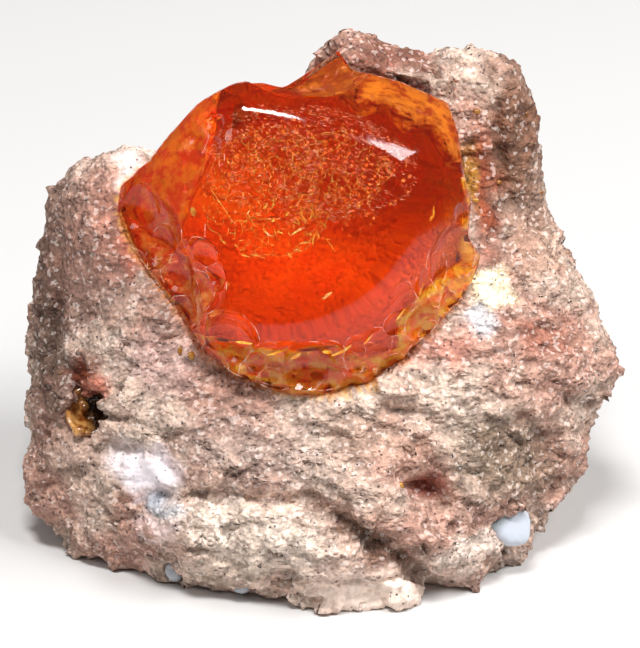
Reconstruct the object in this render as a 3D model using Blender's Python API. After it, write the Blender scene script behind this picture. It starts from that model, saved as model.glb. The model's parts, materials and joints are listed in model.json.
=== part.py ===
"""A rough fire opal: a nodule of clear orange opal, broken open, in the piece of rhyolite it grew in.

Run it with: blender --background --python part.py

The stone stands on a flat base and its broad broken face leans back. Everything is modelled in the frame of that
face and hangs on one empty, "leaning_face": X across the face, Y up along it, Z out of it. Sizes in this file are
millimetres in that frame unless a name says otherwise. The world's origin is the middle of the base.
"""

import math

import bmesh
import bpy
import numpy as np
from mathutils import Matrix, Vector, noise
from mathutils.bvhtree import BVHTree

MM = 0.001

# ---- Driving dimensions ---------------------------------------------------------------------------------------
LEAN_DEG = 27.0  # the broad face leans back from upright by this much
FACE_MIDDLE = (0.0, -4.55, 26.5)  # world place of the face frame's origin, above the middle of the base
TOUCH_GAP = 0.35  # clearance between an opal and the hollow it sits in

# ---- The rock ---------------------------------------------------------------------------------------------------
ROCK_CORE = (0.0, 0.0, -10.0)  # every point of the rock's skin is seen from here

# The rim: where the rock's outline lies, as (across, up, out), clockwise from the top.
ROCK_RIM = [
    (2.0, 32.5, -9.0), (3.7, 32.9, -9.0), (6.7, 31.5, -8.0), (9.1, 31.0, -8.0), (12.3, 29.6, -7.0),
    (13.8, 30.7, -5.0), (15.5, 31.0, -5.0), (18.4, 30.2, -5.0), (22.0, 28.7, -5.0), (23.2, 25.6, -6.0),
    (24.4, 20.0, -7.0), (25.4, 11.5, -8.0), (28.0, 8.7, -8.0), (29.6, 4.2, -8.0), (31.6, -0.7, -8.0),
    (34.0, -5.1, -7.0), (32.0, -8.5, -7.0), (29.5, -13.5, -7.0), (27.4, -18.4, -7.0), (25.1, -22.3, -6.0),
    (22.8, -25.2, -5.0), (20.8, -28.2, -4.0), (16.9, -30.0, -1.0), (12.4, -29.2, 0.0), (8.8, -30.6, 2.0),
    (4.0, -31.7, 3.5), (1.3, -30.5, 2.0), (-3.7, -29.9, 0.0), (-9.2, -30.6, 0.5), (-14.8, -30.4, -2.0),
    (-20.8, -27.8, -5.0), (-27.8, -24.3, -8.0), (-31.4, -22.0, -9.0), (-32.8, -17.9, -9.0),
    (-32.6, -12.9, -9.0), (-33.4, -9.3, -9.0), (-32.6, -2.9, -9.0), (-32.0, 2.7, -9.0), (-31.3, 11.3, -8.0),
    (-30.7, 15.2, -7.0), (-27.6, 17.4, -6.0), (-24.6, 19.0, -5.0), (-21.4, 19.6, -5.0), (-19.5, 19.4, -6.0),
    (-17.0, 17.6, -8.0), (-12.0, 19.0, -10.0), (-5.6, 23.2, -11.0), (-0.5, 27.5, -11.0),
]
RIM_FRONT_SLOPE_DEG = 47.0  # how steeply the skin rises from the rim towards the broad face
RIM_BACK_TAPER_DEG = 16.0  # how much the flanks draw in behind the rim
RIM_SWELL = 1.008  # makes up for what the rounding takes off at the rim

# Broken faces on the front: where each one's middle lies, and the way it looks. They blend into one another.
FRONT_FACES = [
    ((-25.0, 9.0, 0.5), (-0.25, 0.05, 0.97)),  # upper plateau, left of the opal
    ((-21.0, -3.0, 2.0), (-0.20, 0.00, 0.98)),  # lower plateau
    ((-25.0, -17.0, 0.0), (-0.45, -0.25, 0.86)),  # left flank below the vug
    ((-12.5, -9.0, 4.0), (-0.12, 0.12, 0.98)),  # shoulder under the opal's left side
    ((-3.0, -14.0, 6.0), (-0.03, 0.10, 1.00)),  # brow below the opal
    ((-8.0, -24.0, 4.5), (-0.05, -0.45, 0.90)),  # lower front
    ((4.0, -28.5, 4.5), (0.10, -0.55, 0.83)),  # foot
    ((11.5, -8.5, 4.5), (0.15, 0.10, 0.98)),  # under the opal's right side
    ((20.0, -6.0, 3.0), (0.35, 0.10, 0.93)),  # right shoulder
    ((29.0, -5.0, -2.0), (0.60, 0.10, 0.80)),  # right corner
    ((17.0, -18.0, 3.5), (0.42, -0.30, 0.85)),  # lower right
    ((20.0, -25.5, -0.5), (0.50, -0.45, 0.74)),  # lower right foot
    ((21.0, 5.0, 1.0), (0.25, 0.15, 0.95)),  # right of the opal
    ((21.0, 23.0, 0.0), (0.30, 0.25, 0.92)),  # block at the upper right
    ((16.0, 17.0, -2.5), (-0.10, 0.10, 1.00)),  # pink trench beside the opal
    ((9.0, 28.5, -2.0), (0.05, 0.30, 0.95)),  # top block
    ((-2.0, 10.0, 0.0), (0.00, 0.10, 1.00)),  # under the opal
    ((-22.0, 17.5, -1.0), (-0.15, 0.20, 0.97)),  # upper left corner
    ((-13.0, 18.0, -5.0), (-0.10, 0.20, 0.97)),  # behind the opal's upper left side
]
FACE_SPREAD = 4.5  # how wide the blend between neighbouring faces is

# Broken faces at the back, in the world's frame: a point on the face, and the way it looks.
BACK_FACES = [
    ((-0.7, 20.6, 40.0), (0.05, 0.99, 0.10)),
    ((-0.7, 19.6, 12.0), (-0.08, 0.95, -0.28)),
    ((-27.7, 15.6, 25.0), (-0.72, 0.68, 0.10)),
    ((26.3, 14.1, 25.0), (0.66, 0.72, -0.10)),
]
FACE_SHARPNESS = 24.0  # how crisply the broken faces meet

# Relief on the front: (across, up), (half length, half width), turn in degrees, height out of the face.
FRONT_RELIEF = [
    ((5.0, -23.8), (9.0, 1.6), -35.6, -1.8),  # gully that runs down to the right
    ((-19.2, -15.9), (4.5, 2.2), -25.0, -0.9),  # hollow of the white patch
    ((-15.8, -14.2), (3.5, 0.9), -38.0, -1.0),  # shadow under the ledge beside it
    ((-13.6, -12.6), (3.6, 1.6), -45.0, 1.0),  # the ledge itself
    ((-4.3, -24.0), (9.0, 3.0), -5.0, 1.4),  # lower brow
    ((-9.0, -19.6), (9.0, 1.2), -14.0, -1.2),  # long groove above it
    ((10.0, -13.2), (5.0, 1.3), -35.0, -1.3),  # drop below the pink zone
    ((22.0, -13.0), (5.0, 1.1), -50.0, -0.9),
    ((-4.0, -31.0), (4.5, 1.6), 0.0, -1.5),  # arch in the bottom edge
    ((11.4, -17.5), (3.0, 1.5), -60.0, -1.5),  # rusty pit
    ((21.2, -22.9), (3.5, 2.0), -40.0, -1.5),  # notch of the milky opal
    ((18.3, 17.3), (8.0, 2.5), -80.0, -2.0),  # pink trench right of the opal
    ((8.7, 25.8), (6.0, 1.0), -10.0, -2.5),  # crack under the top block
    ((14.1, 26.0), (4.0, 1.5), -60.0, -1.5),  # valley between the top block and the right block
]
LUMP_SIZE = 9.0  # spacing of the rock's broad lumps
LUMP_HEIGHT = 0.9
CHUNK_SIZE = (7.0, 5.0, 5.0)  # spacing of its hackly breaks; they run a little with the flow banding
CHUNK_HEIGHT = 1.5
CHUNK_TILT = 1.3
NOISE_SHIFTS = (11.3, 47.1, 83.9)  # how far apart the noises lie that make up a vector
SMOOTH_ABOVE = (-9.0, -1.0)  # the front's breaks fade to a finer plateau between these heights up the face
PLATEAU_SHARE = 0.45

# ---- The opal nodule --------------------------------------------------------------------------------------------
OPAL_CORE = (-1.5, 9.5, -2.0)
OPAL_DEPTH = 11.0  # how far the nodule goes into the rock behind its core
OPAL_OUTLINE = [
    (-9.0, 25.8), (-6.2, 26.1), (-4.0, 25.6), (-0.9, 27.6), (2.0, 29.8), (3.5, 27.4), (8.7, 26.1), (13.8, 24.0),
    (14.9, 20.5), (15.5, 16.2), (16.3, 12.9), (15.9, 9.3), (17.9, 6.7), (17.2, 3.5), (14.3, 1.7), (12.2, -0.7),
    (9.6, -2.8), (8.5, -5.2), (7.4, -8.0), (5.4, -8.7), (1.1, -8.2), (-4.3, -7.4), (-9.1, -5.4), (-12.5, -2.8),
    (-14.3, 0.2), (-17.4, 4.2), (-20.7, 8.8), (-22.1, 12.4), (-21.7, 15.1), (-18.3, 17.8), (-16.5, 20.1),
    (-13.0, 23.7),
]
# The dome's broad swells: a point on the skin, the way it looks there, and its radius of curvature.
OPAL_SWELLS = [
    ((0.0, 9.0, 13.0), (0.05, -0.05, 1.0), 60.0),  # front
    ((1.0, 21.2, 12.2), (0.20, 0.58, 0.79), 45.0),  # slope above the crest
    ((-11.0, 17.0, 12.0), (-0.66, 0.20, 0.72), 80.0),  # blade facet at the left
    ((15.3, 13.0, 6.0), (0.85, 0.00, 0.50), 50.0),  # right shoulder
    ((0.0, -8.6, 5.2), (0.00, -0.72, -0.69), 60.0),  # underside that thins out to the lower rim
    ((16.8, 4.5, 3.2), (0.66, -0.28, -0.70), 60.0),  # underside at the right
    ((13.5, 22.5, 0.5), (0.52, 0.38, -0.77), 200.0),  # underside at the upper right
]
OPAL_SHARPNESS = 40.0
OPAL_BOWL = 2.2  # 2 makes the buried side an ellipsoid, more makes it boxier

# Conchoidal scars: the deepest point of the scar, the way it looks there, and the radius of the break.
OPAL_SCARS = [
    ((-11.2, -4.4, 6.3), (-0.12, -0.14, 0.98), 5.2),  # steps below the dome's lower edge
    ((-5.4, -7.2, 6.1), (0.03, -0.14, 0.99), 5.6),
    ((0.6, -7.2, 5.7), (0.05, -0.12, 0.99), 5.8),
    ((5.6, -3.4, 7.0), (0.36, -0.50, 0.79), 13.0),  # large flake, lower right
    ((5.2, -9.0, 4.6), (0.05, -0.20, 0.98), 4.5),  # foot of the rim
    ((9.4, -4.2, 5.0), (0.40, -0.25, 0.88), 5.0),
    ((11.6, -0.2, 5.0), (0.50, -0.35, 0.79), 7.0),
    ((15.8, 3.5, 3.4), (0.40, -0.20, 0.89), 6.0),  # yellow shards at the right
    ((13.8, 6.5, 5.5), (0.65, -0.15, 0.75), 8.0),
    ((-19.8, 10.6, 1.8), (-0.35, -0.20, 0.91), 8.0),  # chips at the left
    ((-17.6, 6.0, 3.0), (-0.40, -0.35, 0.85), 8.0),
    ((-15.2, 2.5, 5.0), (-0.50, -0.30, 0.81), 6.5),
    ((-12.6, 5.2, 8.6), (-0.45, -0.25, 0.86), 5.0),
    ((-14.2, -0.8, 5.6), (-0.45, -0.30, 0.84), 4.5),
    ((-12.9, 19.5, 9.0), (-0.60, 0.20, 0.77), 3.5),  # oval chip on the blade
    ((-0.5, 28.2, -1.0), (-0.15, 0.45, 0.88), 9.0),  # above the thin wedge at the top
]
FINE_SCAR_RADIUS = 12.0  # breaks at least this round get the finer ball

# ---- The small opals ----------------------------------------------------------------------------------------------
# Each lump's middle lies under the skin where a line from the rock's core through this place comes out: the place,
# how far under the skin, the half sizes, and the turn in the face in degrees.
CHIP = ((21.3, -22.8, -1.0), 0.7, (3.7, 2.2, 2.4), -40.0)
CHIP_BREAK = (0.35, (0.35, 0.25, 0.90))  # this share of its half depth from its middle, facing this way
LEFT_BEAD = ((-16.3, -27.6, -1.5), 0.2, (0.9, 1.1, 0.8), 25.0)
RIGHT_BEAD = ((-8.7, -29.2, 0.8), 0.2, (1.0, 0.75, 0.8), 0.0)

# The vug's deep part and its shallow upper recess, given in the same way.
VUG = ((-25.9, -9.9, -1.0), 1.3, (3.0, 3.4, 4.6), 0.0)
VUG_RECESS = ((-25.9, -6.0, -1.0), 0.2, (2.2, 2.6, 1.9), 0.0)
CRUST_SHARE = (0.14, 0.42)  # the crust's thickness at its thinnest and thickest, as shares of the vug's half sizes
CRUST_KNOB_SIZE = 0.45  # spacing of its knobs, in the same shares
CRUST_AXIS = (0.05, -0.35, -0.94)  # the middle of the lined side, seen from the vug's middle
CRUST_REACH_DEG = 88.0  # how far the lining comes up from there


def unit(vector):
    """The same direction with a length of one."""
    vector = np.array(vector, float)
    return vector / np.linalg.norm(vector)


def face_axes():
    """The face frame as a rotation: its columns are across, up and out, in world directions."""
    return Matrix.Rotation(math.radians(90.0 - LEAN_DEG), 3, "X")


def ball_mesh(subdivisions):
    """An icosphere's unit directions, one row each, and the bmesh that they belong to."""
    shape = bmesh.new()
    bmesh.ops.create_icosphere(shape, subdivisions=subdivisions, radius=1.0)
    return shape, np.array([vertex.co for vertex in shape.verts], float)


def outline_reach(outline, core, directions):
    """Along each direction's compass turn: how far the outline lies from the core, and its depth there."""
    corners = np.array(outline, float)
    corners[:, :2] -= core[:2]
    turns = np.arctan2(corners[:, 1], corners[:, 0])
    order = np.argsort(turns)
    corners, turns = corners[order], turns[order]
    wanted = np.arctan2(directions[:, 1], directions[:, 0])
    first = np.searchsorted(turns, wanted) - 1
    start = corners[first]
    edge = corners[(first + 1) % len(corners)] - start
    aim = np.stack([np.cos(wanted), np.sin(wanted)], axis=1)
    crossing = start[:, 0] * edge[:, 1] - start[:, 1] * edge[:, 0]
    reach = crossing / (aim[:, 0] * edge[:, 1] - aim[:, 1] * edge[:, 0])
    along = ((aim * reach[:, None] - start[:, :2]) * edge[:, :2]).sum(axis=1)
    share = along / (edge[:, :2] ** 2).sum(axis=1)
    depth = start[:, 2] + share * edge[:, 2] if corners.shape[1] > 2 else None
    return reach, depth


def plane_reach(core, directions, point, normal):
    """How far from the core each direction meets a plane; very far where it never does."""
    normal = unit(normal)
    facing = directions @ normal
    height = float(normal @ (np.array(point) - core))
    return np.where(facing > 1e-3, height / np.maximum(facing, 1e-3), 1e6)


def sphere_reach(core, directions, point, normal, radius):
    """How far from the core each direction leaves a sphere that passes through the point, facing normal."""
    to_centre = np.array(point) - unit(normal) * radius - core
    middle = directions @ to_centre
    under_root = middle**2 - (to_centre @ to_centre - radius**2)
    return middle + np.sqrt(np.maximum(under_root, 0.0))


def soft_least(reaches, sharpness):
    """The least of several reaches, rounded where two are alike."""
    total = sum((1.0 / np.maximum(reach, 1e-3)) ** sharpness for reach in reaches)
    return total ** (-1.0 / sharpness)


def front_height(across, up):
    """How far the blended broken faces stand out at each place."""
    total = np.zeros(len(across))
    weight = np.zeros(len(across))
    for (middle_across, middle_up, out), normal in FRONT_FACES:
        aside, above = across - middle_across, up - middle_up
        share = np.exp(-(aside**2 + above**2) / (2.0 * FACE_SPREAD**2)) + 1e-12
        tilt = (normal[0] * aside + normal[1] * above) / normal[2]
        total += share * (out - tilt)
        weight += share
    return total / weight


def front_reach(core, directions):
    """How far from the core each direction meets the front, found by halving."""
    near, far = np.zeros(len(directions)), np.full(len(directions), 90.0)
    for _ in range(30):
        middle = (near + far) / 2.0
        points = core + directions * middle[:, None]
        outside = points[:, 2] > front_height(points[:, 0], points[:, 1])
        far = np.where(outside, middle, far)
        near = np.where(outside, near, middle)
    return np.where(directions[:, 2] > 0.02, far, 1e6)


def rock_reach(directions):
    """How far the rock's skin lies from its core along each direction."""
    core = np.array(ROCK_CORE)
    flat = np.hypot(directions[:, 0], directions[:, 1])
    rim, rim_depth = outline_reach(ROCK_RIM, core, directions)
    rim = rim * RIM_SWELL
    rise = 1.0 / math.tan(math.radians(RIM_FRONT_SLOPE_DEG))
    taper = math.tan(math.radians(RIM_BACK_TAPER_DEG))
    ahead = rim_depth - core[2]
    front = (rim + ahead * rise) / np.maximum(flat + directions[:, 2] * rise, 1e-3)
    back = (rim - ahead * taper) / np.maximum(flat - directions[:, 2] * taper, 1e-3)
    reaches = [front, back, front_reach(core, directions)]
    to_face = np.array(face_axes().transposed())
    for world_point, world_normal in BACK_FACES:
        point = to_face @ (np.array(world_point) - FACE_MIDDLE)
        reaches.append(plane_reach(core, directions, point, to_face @ unit(world_normal)))
    return soft_least(reaches, FACE_SHARPNESS)


def relief_height(points):
    """How far the named ledges, gullies and pits lift or sink the front at each point."""
    height = np.zeros(len(points))
    for middle, half, turn_deg, lift in FRONT_RELIEF:
        turn = math.radians(turn_deg)
        offset = points[:, :2] - np.array(middle)
        along = (offset[:, 0] * math.cos(turn) + offset[:, 1] * math.sin(turn)) / half[0]
        aside = (offset[:, 1] * math.cos(turn) - offset[:, 0] * math.sin(turn)) / half[1]
        height += lift * np.exp(-(along**2) - aside**2)
    return height


def noise_lean(place):
    """Three noises at once: a vector that changes smoothly from place to place."""
    return Vector([noise.noise(place + Vector((shift, 0.0, 0.0))) for shift in NOISE_SHIFTS])


def roughness(points):
    """Lumps and hackly chunks of the broken rock, at each point."""
    lift = []
    for across, up, out in points:
        lump = noise.noise(Vector((across, up, out)) / LUMP_SIZE)
        place = Vector((across / CHUNK_SIZE[0], up / CHUNK_SIZE[1], out / CHUNK_SIZE[2]))
        chunk = noise.voronoi(place)[1][0]
        tilt = noise_lean(chunk * 3.1) * CHUNK_TILT
        broken = noise.noise(chunk * 5.7) + tilt.dot(place - chunk)
        fade = np.interp(up, SMOOTH_ABOVE, (1.0, PLATEAU_SHARE))
        lift.append(LUMP_HEIGHT * lump + CHUNK_HEIGHT * broken * fade)
    return np.array(lift)


def rock_points(directions):
    """The rock's skin, standing on its flat base."""
    core = np.array(ROCK_CORE)
    points = core + directions * rock_reach(directions)[:, None]
    points += directions * roughness(points)[:, None]
    facing = np.clip(directions[:, 2] * 4.0, 0.0, 1.0)
    points[:, 2] += facing * relief_height(points)
    # Below the base, each point is drawn back towards the core until it lies on the base.
    down = np.array(face_axes().transposed() @ Vector((0.0, 0.0, -1.0)))
    core_height = FACE_MIDDLE[2] - core @ down
    fall = (points - core) @ down
    share = np.where(fall > core_height, core_height / np.maximum(fall, 1e-6), 1.0)
    return core + (points - core) * share[:, None]


def opal_reach(directions):
    """How far the whole nodule's skin lies from its core along each direction."""
    core = np.array(OPAL_CORE)
    flat = np.maximum(np.hypot(directions[:, 0], directions[:, 1]), 1e-6)
    wall, _ = outline_reach(OPAL_OUTLINE, core, directions)
    behind = np.maximum(-directions[:, 2], 0.0) / OPAL_DEPTH
    bowl = ((flat / wall) ** OPAL_BOWL + behind**OPAL_BOWL) ** (-1.0 / OPAL_BOWL)
    reaches = [bowl]
    for point, normal, radius in OPAL_SWELLS:
        reaches.append(sphere_reach(core, directions, point, normal, radius))
    return soft_least(reaches, OPAL_SHARPNESS)


def opal_points(directions):
    """The whole nodule's skin, before anything broke off it."""
    return np.array(OPAL_CORE) + directions * opal_reach(directions)[:, None]


def material(name, colour, rough, **more):
    """A plain surface: colour, roughness, and any other Principled value by its socket's name."""
    made = bpy.data.materials.new(name)
    made.use_nodes = True
    shader = made.node_tree.nodes["Principled BSDF"]
    shader.inputs["Base Color"].default_value = (*colour, 1.0)
    shader.inputs["Roughness"].default_value = rough
    shader.inputs["Metallic"].default_value = 0.0
    for socket, value in more.items():
        shader.inputs[socket.replace("_", " ")].default_value = value
    return made


def lumpy(directions, size, height):
    """A share of its own size by which a lump swells along each direction."""
    return 1.0 + height * np.array([noise.noise(Vector(direction) / size) for direction in directions])


def ellipsoid_points(directions, half, turn_deg, middle):
    """The skin of an ellipsoid turned within the face."""
    turn = math.radians(turn_deg)
    points = directions * np.array(half)
    across = points[:, 0] * math.cos(turn) - points[:, 1] * math.sin(turn)
    up = points[:, 0] * math.sin(turn) + points[:, 1] * math.cos(turn)
    return np.stack([across, up, points[:, 2]], axis=1) + middle


def add_object(name, mesh, parent):
    """Puts a mesh in the scene under a name, in the frame of the leaning face."""
    made = bpy.data.objects.new(name, mesh)
    bpy.context.collection.objects.link(made)
    made.parent = parent
    return made


def shape_object(name, shape, points, parent, finish=None):
    """Moves a bmesh's vertices to the points, given in millimetres, and makes it an object."""
    for vertex, point in zip(shape.verts, points):
        vertex.co = Vector(point) * MM
    bmesh.ops.recalc_face_normals(shape, faces=shape.faces)
    mesh = bpy.data.meshes.new(name)
    shape.to_mesh(mesh)
    shape.free()
    if finish:
        mesh.materials.append(finish)
    return add_object(name, mesh, parent)


def as_cutter(made, into):
    """Turns an object into a cutter and puts it in a collection of cutters."""
    for home in list(made.users_collection):
        home.objects.unlink(made)
    into.objects.link(made)
    made.hide_render = True
    made.display_type = "WIRE"
    return made


def cutters(name):
    """A collection for cutters."""
    made = bpy.data.collections.new(name)
    bpy.context.scene.collection.children.link(made)
    return made


def cut(made, tools):
    """Cuts every object of a collection out of a solid."""
    step = made.modifiers.new("cut_" + tools.name, "BOOLEAN")
    step.operation = "DIFFERENCE"
    step.solver = "EXACT"
    step.operand_type = "COLLECTION"
    step.collection = tools


def make_socket(grown, into):
    """A cutter a little larger than a solid, which hollows the rock for it."""
    socket = add_object(grown.name + "_socket", grown.data.copy(), grown.parent)
    grow = socket.modifiers.new("clearance", "DISPLACE")
    grow.mid_level = 0.0
    grow.strength = TOUCH_GAP * MM
    return as_cutter(socket, into)


def surface_point(skin, place, under):
    """Where the line from the rock's core through a place comes out of the skin, moved in by so much."""
    core = Vector(ROCK_CORE)
    hit, normal, _, _ = skin.ray_cast(core * MM, Vector(place) - core)
    return np.array(hit) / MM - np.array(normal) * under


def make_scar(number, point, normal, radius, parent, into):
    """A ball whose surface is the break that took a flake off."""
    shape, directions = ball_mesh(4 if radius >= FINE_SCAR_RADIUS else 3)
    centre = np.array(point) + unit(normal) * radius
    made = shape_object(f"scar_{number}", shape, centre + directions * radius, parent)
    as_cutter(made, into)


def make_opal(parent, rock_tools):
    """The nodule with its flake scars, and its socket among the rock's cutters."""
    finish = material("fire_opal", (0.85, 0.16, 0.01), 0.04, Transmission_Weight=1.0, IOR=1.45)
    shape, directions = ball_mesh(4)
    nodule = shape_object("fire_opal", shape, opal_points(directions), parent, finish)
    make_socket(nodule, rock_tools)
    scars = cutters("opal_scars")
    for number, (point, normal, radius) in enumerate(OPAL_SCARS):
        make_scar(number, point, normal, radius, parent, scars)
    cut(nodule, scars)


def make_bead(name, spec, skin, finish, parent, rock_tools):
    """A small rounded opal set in the rock's skin."""
    place, under, half, turn_deg = spec
    shape, directions = ball_mesh(2)
    middle = surface_point(skin, place, under)
    points = ellipsoid_points(directions * lumpy(directions, 0.9, 0.15)[:, None], half, turn_deg, middle)
    make_socket(shape_object(name, shape, points, parent, finish), rock_tools)


def make_chip(skin, finish, parent, rock_tools):
    """The milky opal at the lower right edge, whose front broke off flat."""
    place, under, half, turn_deg = CHIP
    share, facing = CHIP_BREAK
    shape, directions = ball_mesh(3)
    reach = lumpy(directions, 0.8, 0.2)
    broken = plane_reach(np.zeros(3), directions, unit(facing) * share, facing)
    reach = soft_least([reach, broken], OPAL_SHARPNESS)
    middle = surface_point(skin, place, under)
    points = ellipsoid_points(directions * reach[:, None], half, turn_deg, middle)
    make_socket(shape_object("milky_opal_chip", shape, points, parent, finish), rock_tools)


def crust_thickness(directions, fade):
    """How thick the crust is along each direction, as a share of the vug's half sizes, with rounded knobs."""
    thin, thick = CRUST_SHARE
    knobs = []
    for direction in directions:
        nearest = noise.voronoi(Vector(direction) / CRUST_KNOB_SIZE)[0][0]
        knobs.append(math.sqrt(max(0.0, 1.0 - nearest**2)))
    return (thin + (thick - thin) * np.array(knobs)) * fade


def make_crust(skin, parent):
    """The knobbly amber lining of the vug: a cup whose outside follows the hollow's wall."""
    place, under, half, turn_deg = VUG
    middle = surface_point(skin, place, under)
    rings, segments = 6, 15
    turn = Vector((0.0, 0.0, 1.0)).rotation_difference(Vector(unit(CRUST_AXIS)))
    directions, fade = [], []
    for ring in range(rings + 1):
        lean = math.radians(CRUST_REACH_DEG) * ring / rings
        for segment in range(segments if ring else 1):
            around = 2.0 * math.pi * segment / segments
            spoke = Vector((math.sin(lean) * math.cos(around), math.sin(lean) * math.sin(around), math.cos(lean)))
            directions.append(np.array(turn @ spoke))
            fade.append(math.cos(0.5 * math.pi * (ring / rings) ** 3))
    directions, fade = np.array(directions), np.maximum(np.array(fade), 0.3)
    outside = ellipsoid_points(directions, np.array(half) - TOUCH_GAP, turn_deg, middle)
    inner = directions * (1.0 - crust_thickness(directions, fade))[:, None]
    inside = ellipsoid_points(inner, np.array(half) - TOUCH_GAP, turn_deg, middle)
    shape = bmesh.new()
    layers = [[shape.verts.new(Vector(point)) for point in layer] for layer in (outside, inside)]
    for layer in layers:
        for segment in range(segments):
            after = (segment + 1) % segments
            shape.faces.new((layer[0], layer[1 + segment], layer[1 + after]))
            for ring in range(rings - 1):
                near, far = 1 + ring * segments, 1 + (ring + 1) * segments
                shape.faces.new((layer[near + segment], layer[far + segment], layer[far + after], layer[near + after]))
    last = 1 + (rings - 1) * segments
    for segment in range(segments):
        after = (segment + 1) % segments
        shape.faces.new([layers[0][last + segment], layers[0][last + after],
                         layers[1][last + after], layers[1][last + segment]])
    points = [tuple(vertex.co) for vertex in shape.verts]
    finish = material("amber_opal", (0.45, 0.22, 0.06), 0.15)
    shape_object("amber_opal_crust", shape, points, parent, finish)


def make_hollow(name, spec, skin, parent, rock_tools):
    """A lumpy hollow in the rock."""
    place, under, half, turn_deg = spec
    shape, directions = ball_mesh(3)
    points = ellipsoid_points(directions, half, turn_deg, surface_point(skin, place, under))
    as_cutter(shape_object(name, shape, points, parent), rock_tools)


def make_rock(parent, rock_tools):
    """The rhyolite, hollowed for what grew in it; also returns its skin before the hollows."""
    finish = material("rhyolite", (0.55, 0.42, 0.37), 0.9)
    shape, directions = ball_mesh(5)
    points = rock_points(directions)
    rock = shape_object("rhyolite_matrix", shape, points, parent, finish)
    cut(rock, rock_tools)
    corners = [vertex.co for vertex in rock.data.vertices]
    faces = [tuple(face.vertices) for face in rock.data.polygons]
    return BVHTree.FromPolygons(corners, faces)


def main():
    for old in list(bpy.data.objects):
        bpy.data.objects.remove(old)
    face = bpy.data.objects.new("leaning_face", None)
    bpy.context.collection.objects.link(face)
    face.location = Vector(FACE_MIDDLE) * MM
    face.rotation_euler = (math.radians(90.0 - LEAN_DEG), 0.0, 0.0)
    rock_tools = cutters("rock_hollows")
    skin = make_rock(face, rock_tools)
    make_opal(face, rock_tools)
    make_hollow("vug_hollow", VUG, skin, face, rock_tools)
    make_hollow("vug_recess", VUG_RECESS, skin, face, rock_tools)
    make_crust(skin, face)
    milky = material("milky_opal", (0.74, 0.77, 0.78), 0.2)
    make_chip(skin, milky, face, rock_tools)
    make_bead("white_opal_bead_left", LEFT_BEAD, skin, milky, face, rock_tools)
    make_bead("white_opal_bead_right", RIGHT_BEAD, skin, milky, face, rock_tools)


main()
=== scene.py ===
"""The looks of a rough fire opal: clear orange opal, broken open, in the pinkish rhyolite that it grew in.

Lengths are millimetres in the frame of the stone's broad leaning face, unless a comment says otherwise: X
across the face, Y up along it, Z out of it. Colours are sRGB values from 0 to 255.
"""

import json
import math
import random

import bmesh
import bpy
import numpy as np
from mathutils import Matrix, Vector, geometry, noise
from mathutils.bvhtree import BVHTree

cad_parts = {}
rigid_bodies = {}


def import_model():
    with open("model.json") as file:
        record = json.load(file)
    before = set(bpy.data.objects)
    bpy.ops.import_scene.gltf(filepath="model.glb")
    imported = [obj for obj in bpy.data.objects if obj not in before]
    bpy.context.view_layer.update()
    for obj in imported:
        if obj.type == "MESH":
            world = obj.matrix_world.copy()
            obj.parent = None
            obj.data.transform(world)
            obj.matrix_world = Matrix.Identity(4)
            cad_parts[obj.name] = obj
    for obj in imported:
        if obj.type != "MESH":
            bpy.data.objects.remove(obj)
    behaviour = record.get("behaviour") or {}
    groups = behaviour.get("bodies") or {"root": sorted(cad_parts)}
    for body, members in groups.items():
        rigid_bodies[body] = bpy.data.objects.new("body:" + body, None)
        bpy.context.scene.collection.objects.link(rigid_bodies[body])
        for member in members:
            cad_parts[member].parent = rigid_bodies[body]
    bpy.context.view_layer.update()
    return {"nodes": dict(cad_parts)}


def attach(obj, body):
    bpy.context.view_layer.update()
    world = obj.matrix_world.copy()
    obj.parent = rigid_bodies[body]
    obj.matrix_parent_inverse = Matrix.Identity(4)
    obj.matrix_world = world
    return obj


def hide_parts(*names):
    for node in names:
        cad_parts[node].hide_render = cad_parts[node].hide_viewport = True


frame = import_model()

MM = 0.001
SEED = 7
TINY = 1e-6

# ---- The leaning face, as in the part's source, and the camera in front of it ----
LEAN_DEG = 27.0
FACE_MIDDLE = (0.0, -4.55, 26.5)
FACE_TURN = Matrix.Rotation(math.radians(90.0 - LEAN_DEG), 4, "X")
FACE = Matrix.Translation(Vector(FACE_MIDDLE)) @ FACE_TURN
CAMERA_DISTANCE = 450.0  # from the middle of the face, straight out of it
CAMERA_LENS_MM = 230.0

# ---- The nodule, as in the part's source but for its right shoulder and its crisper ridges ----
OPAL_CORE = (-1.5, 9.5, -2.0)
OPAL_DEPTH = 11.0
# Its outline on the face.
OPAL_OUTLINE = [
    (-9.0, 25.8), (-6.2, 26.1), (-4.0, 25.6), (-0.9, 27.6), (2.0, 29.8), (3.5, 27.4), (8.7, 26.1),
    (13.8, 24.0), (14.9, 20.5), (15.5, 16.2), (16.3, 12.9), (15.9, 9.3), (17.9, 6.7), (17.2, 3.5),
    (14.3, 1.7), (12.2, -0.7), (9.6, -2.8), (8.5, -5.2), (7.4, -8.0), (5.4, -8.7), (1.1, -8.2),
    (-4.3, -7.4), (-9.1, -5.4), (-12.5, -2.8), (-14.3, 0.2), (-17.4, 4.2), (-20.7, 8.8), (-22.1, 12.4),
    (-21.7, 15.1), (-18.3, 17.8), (-16.5, 20.1), (-13.0, 23.7),
]
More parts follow.
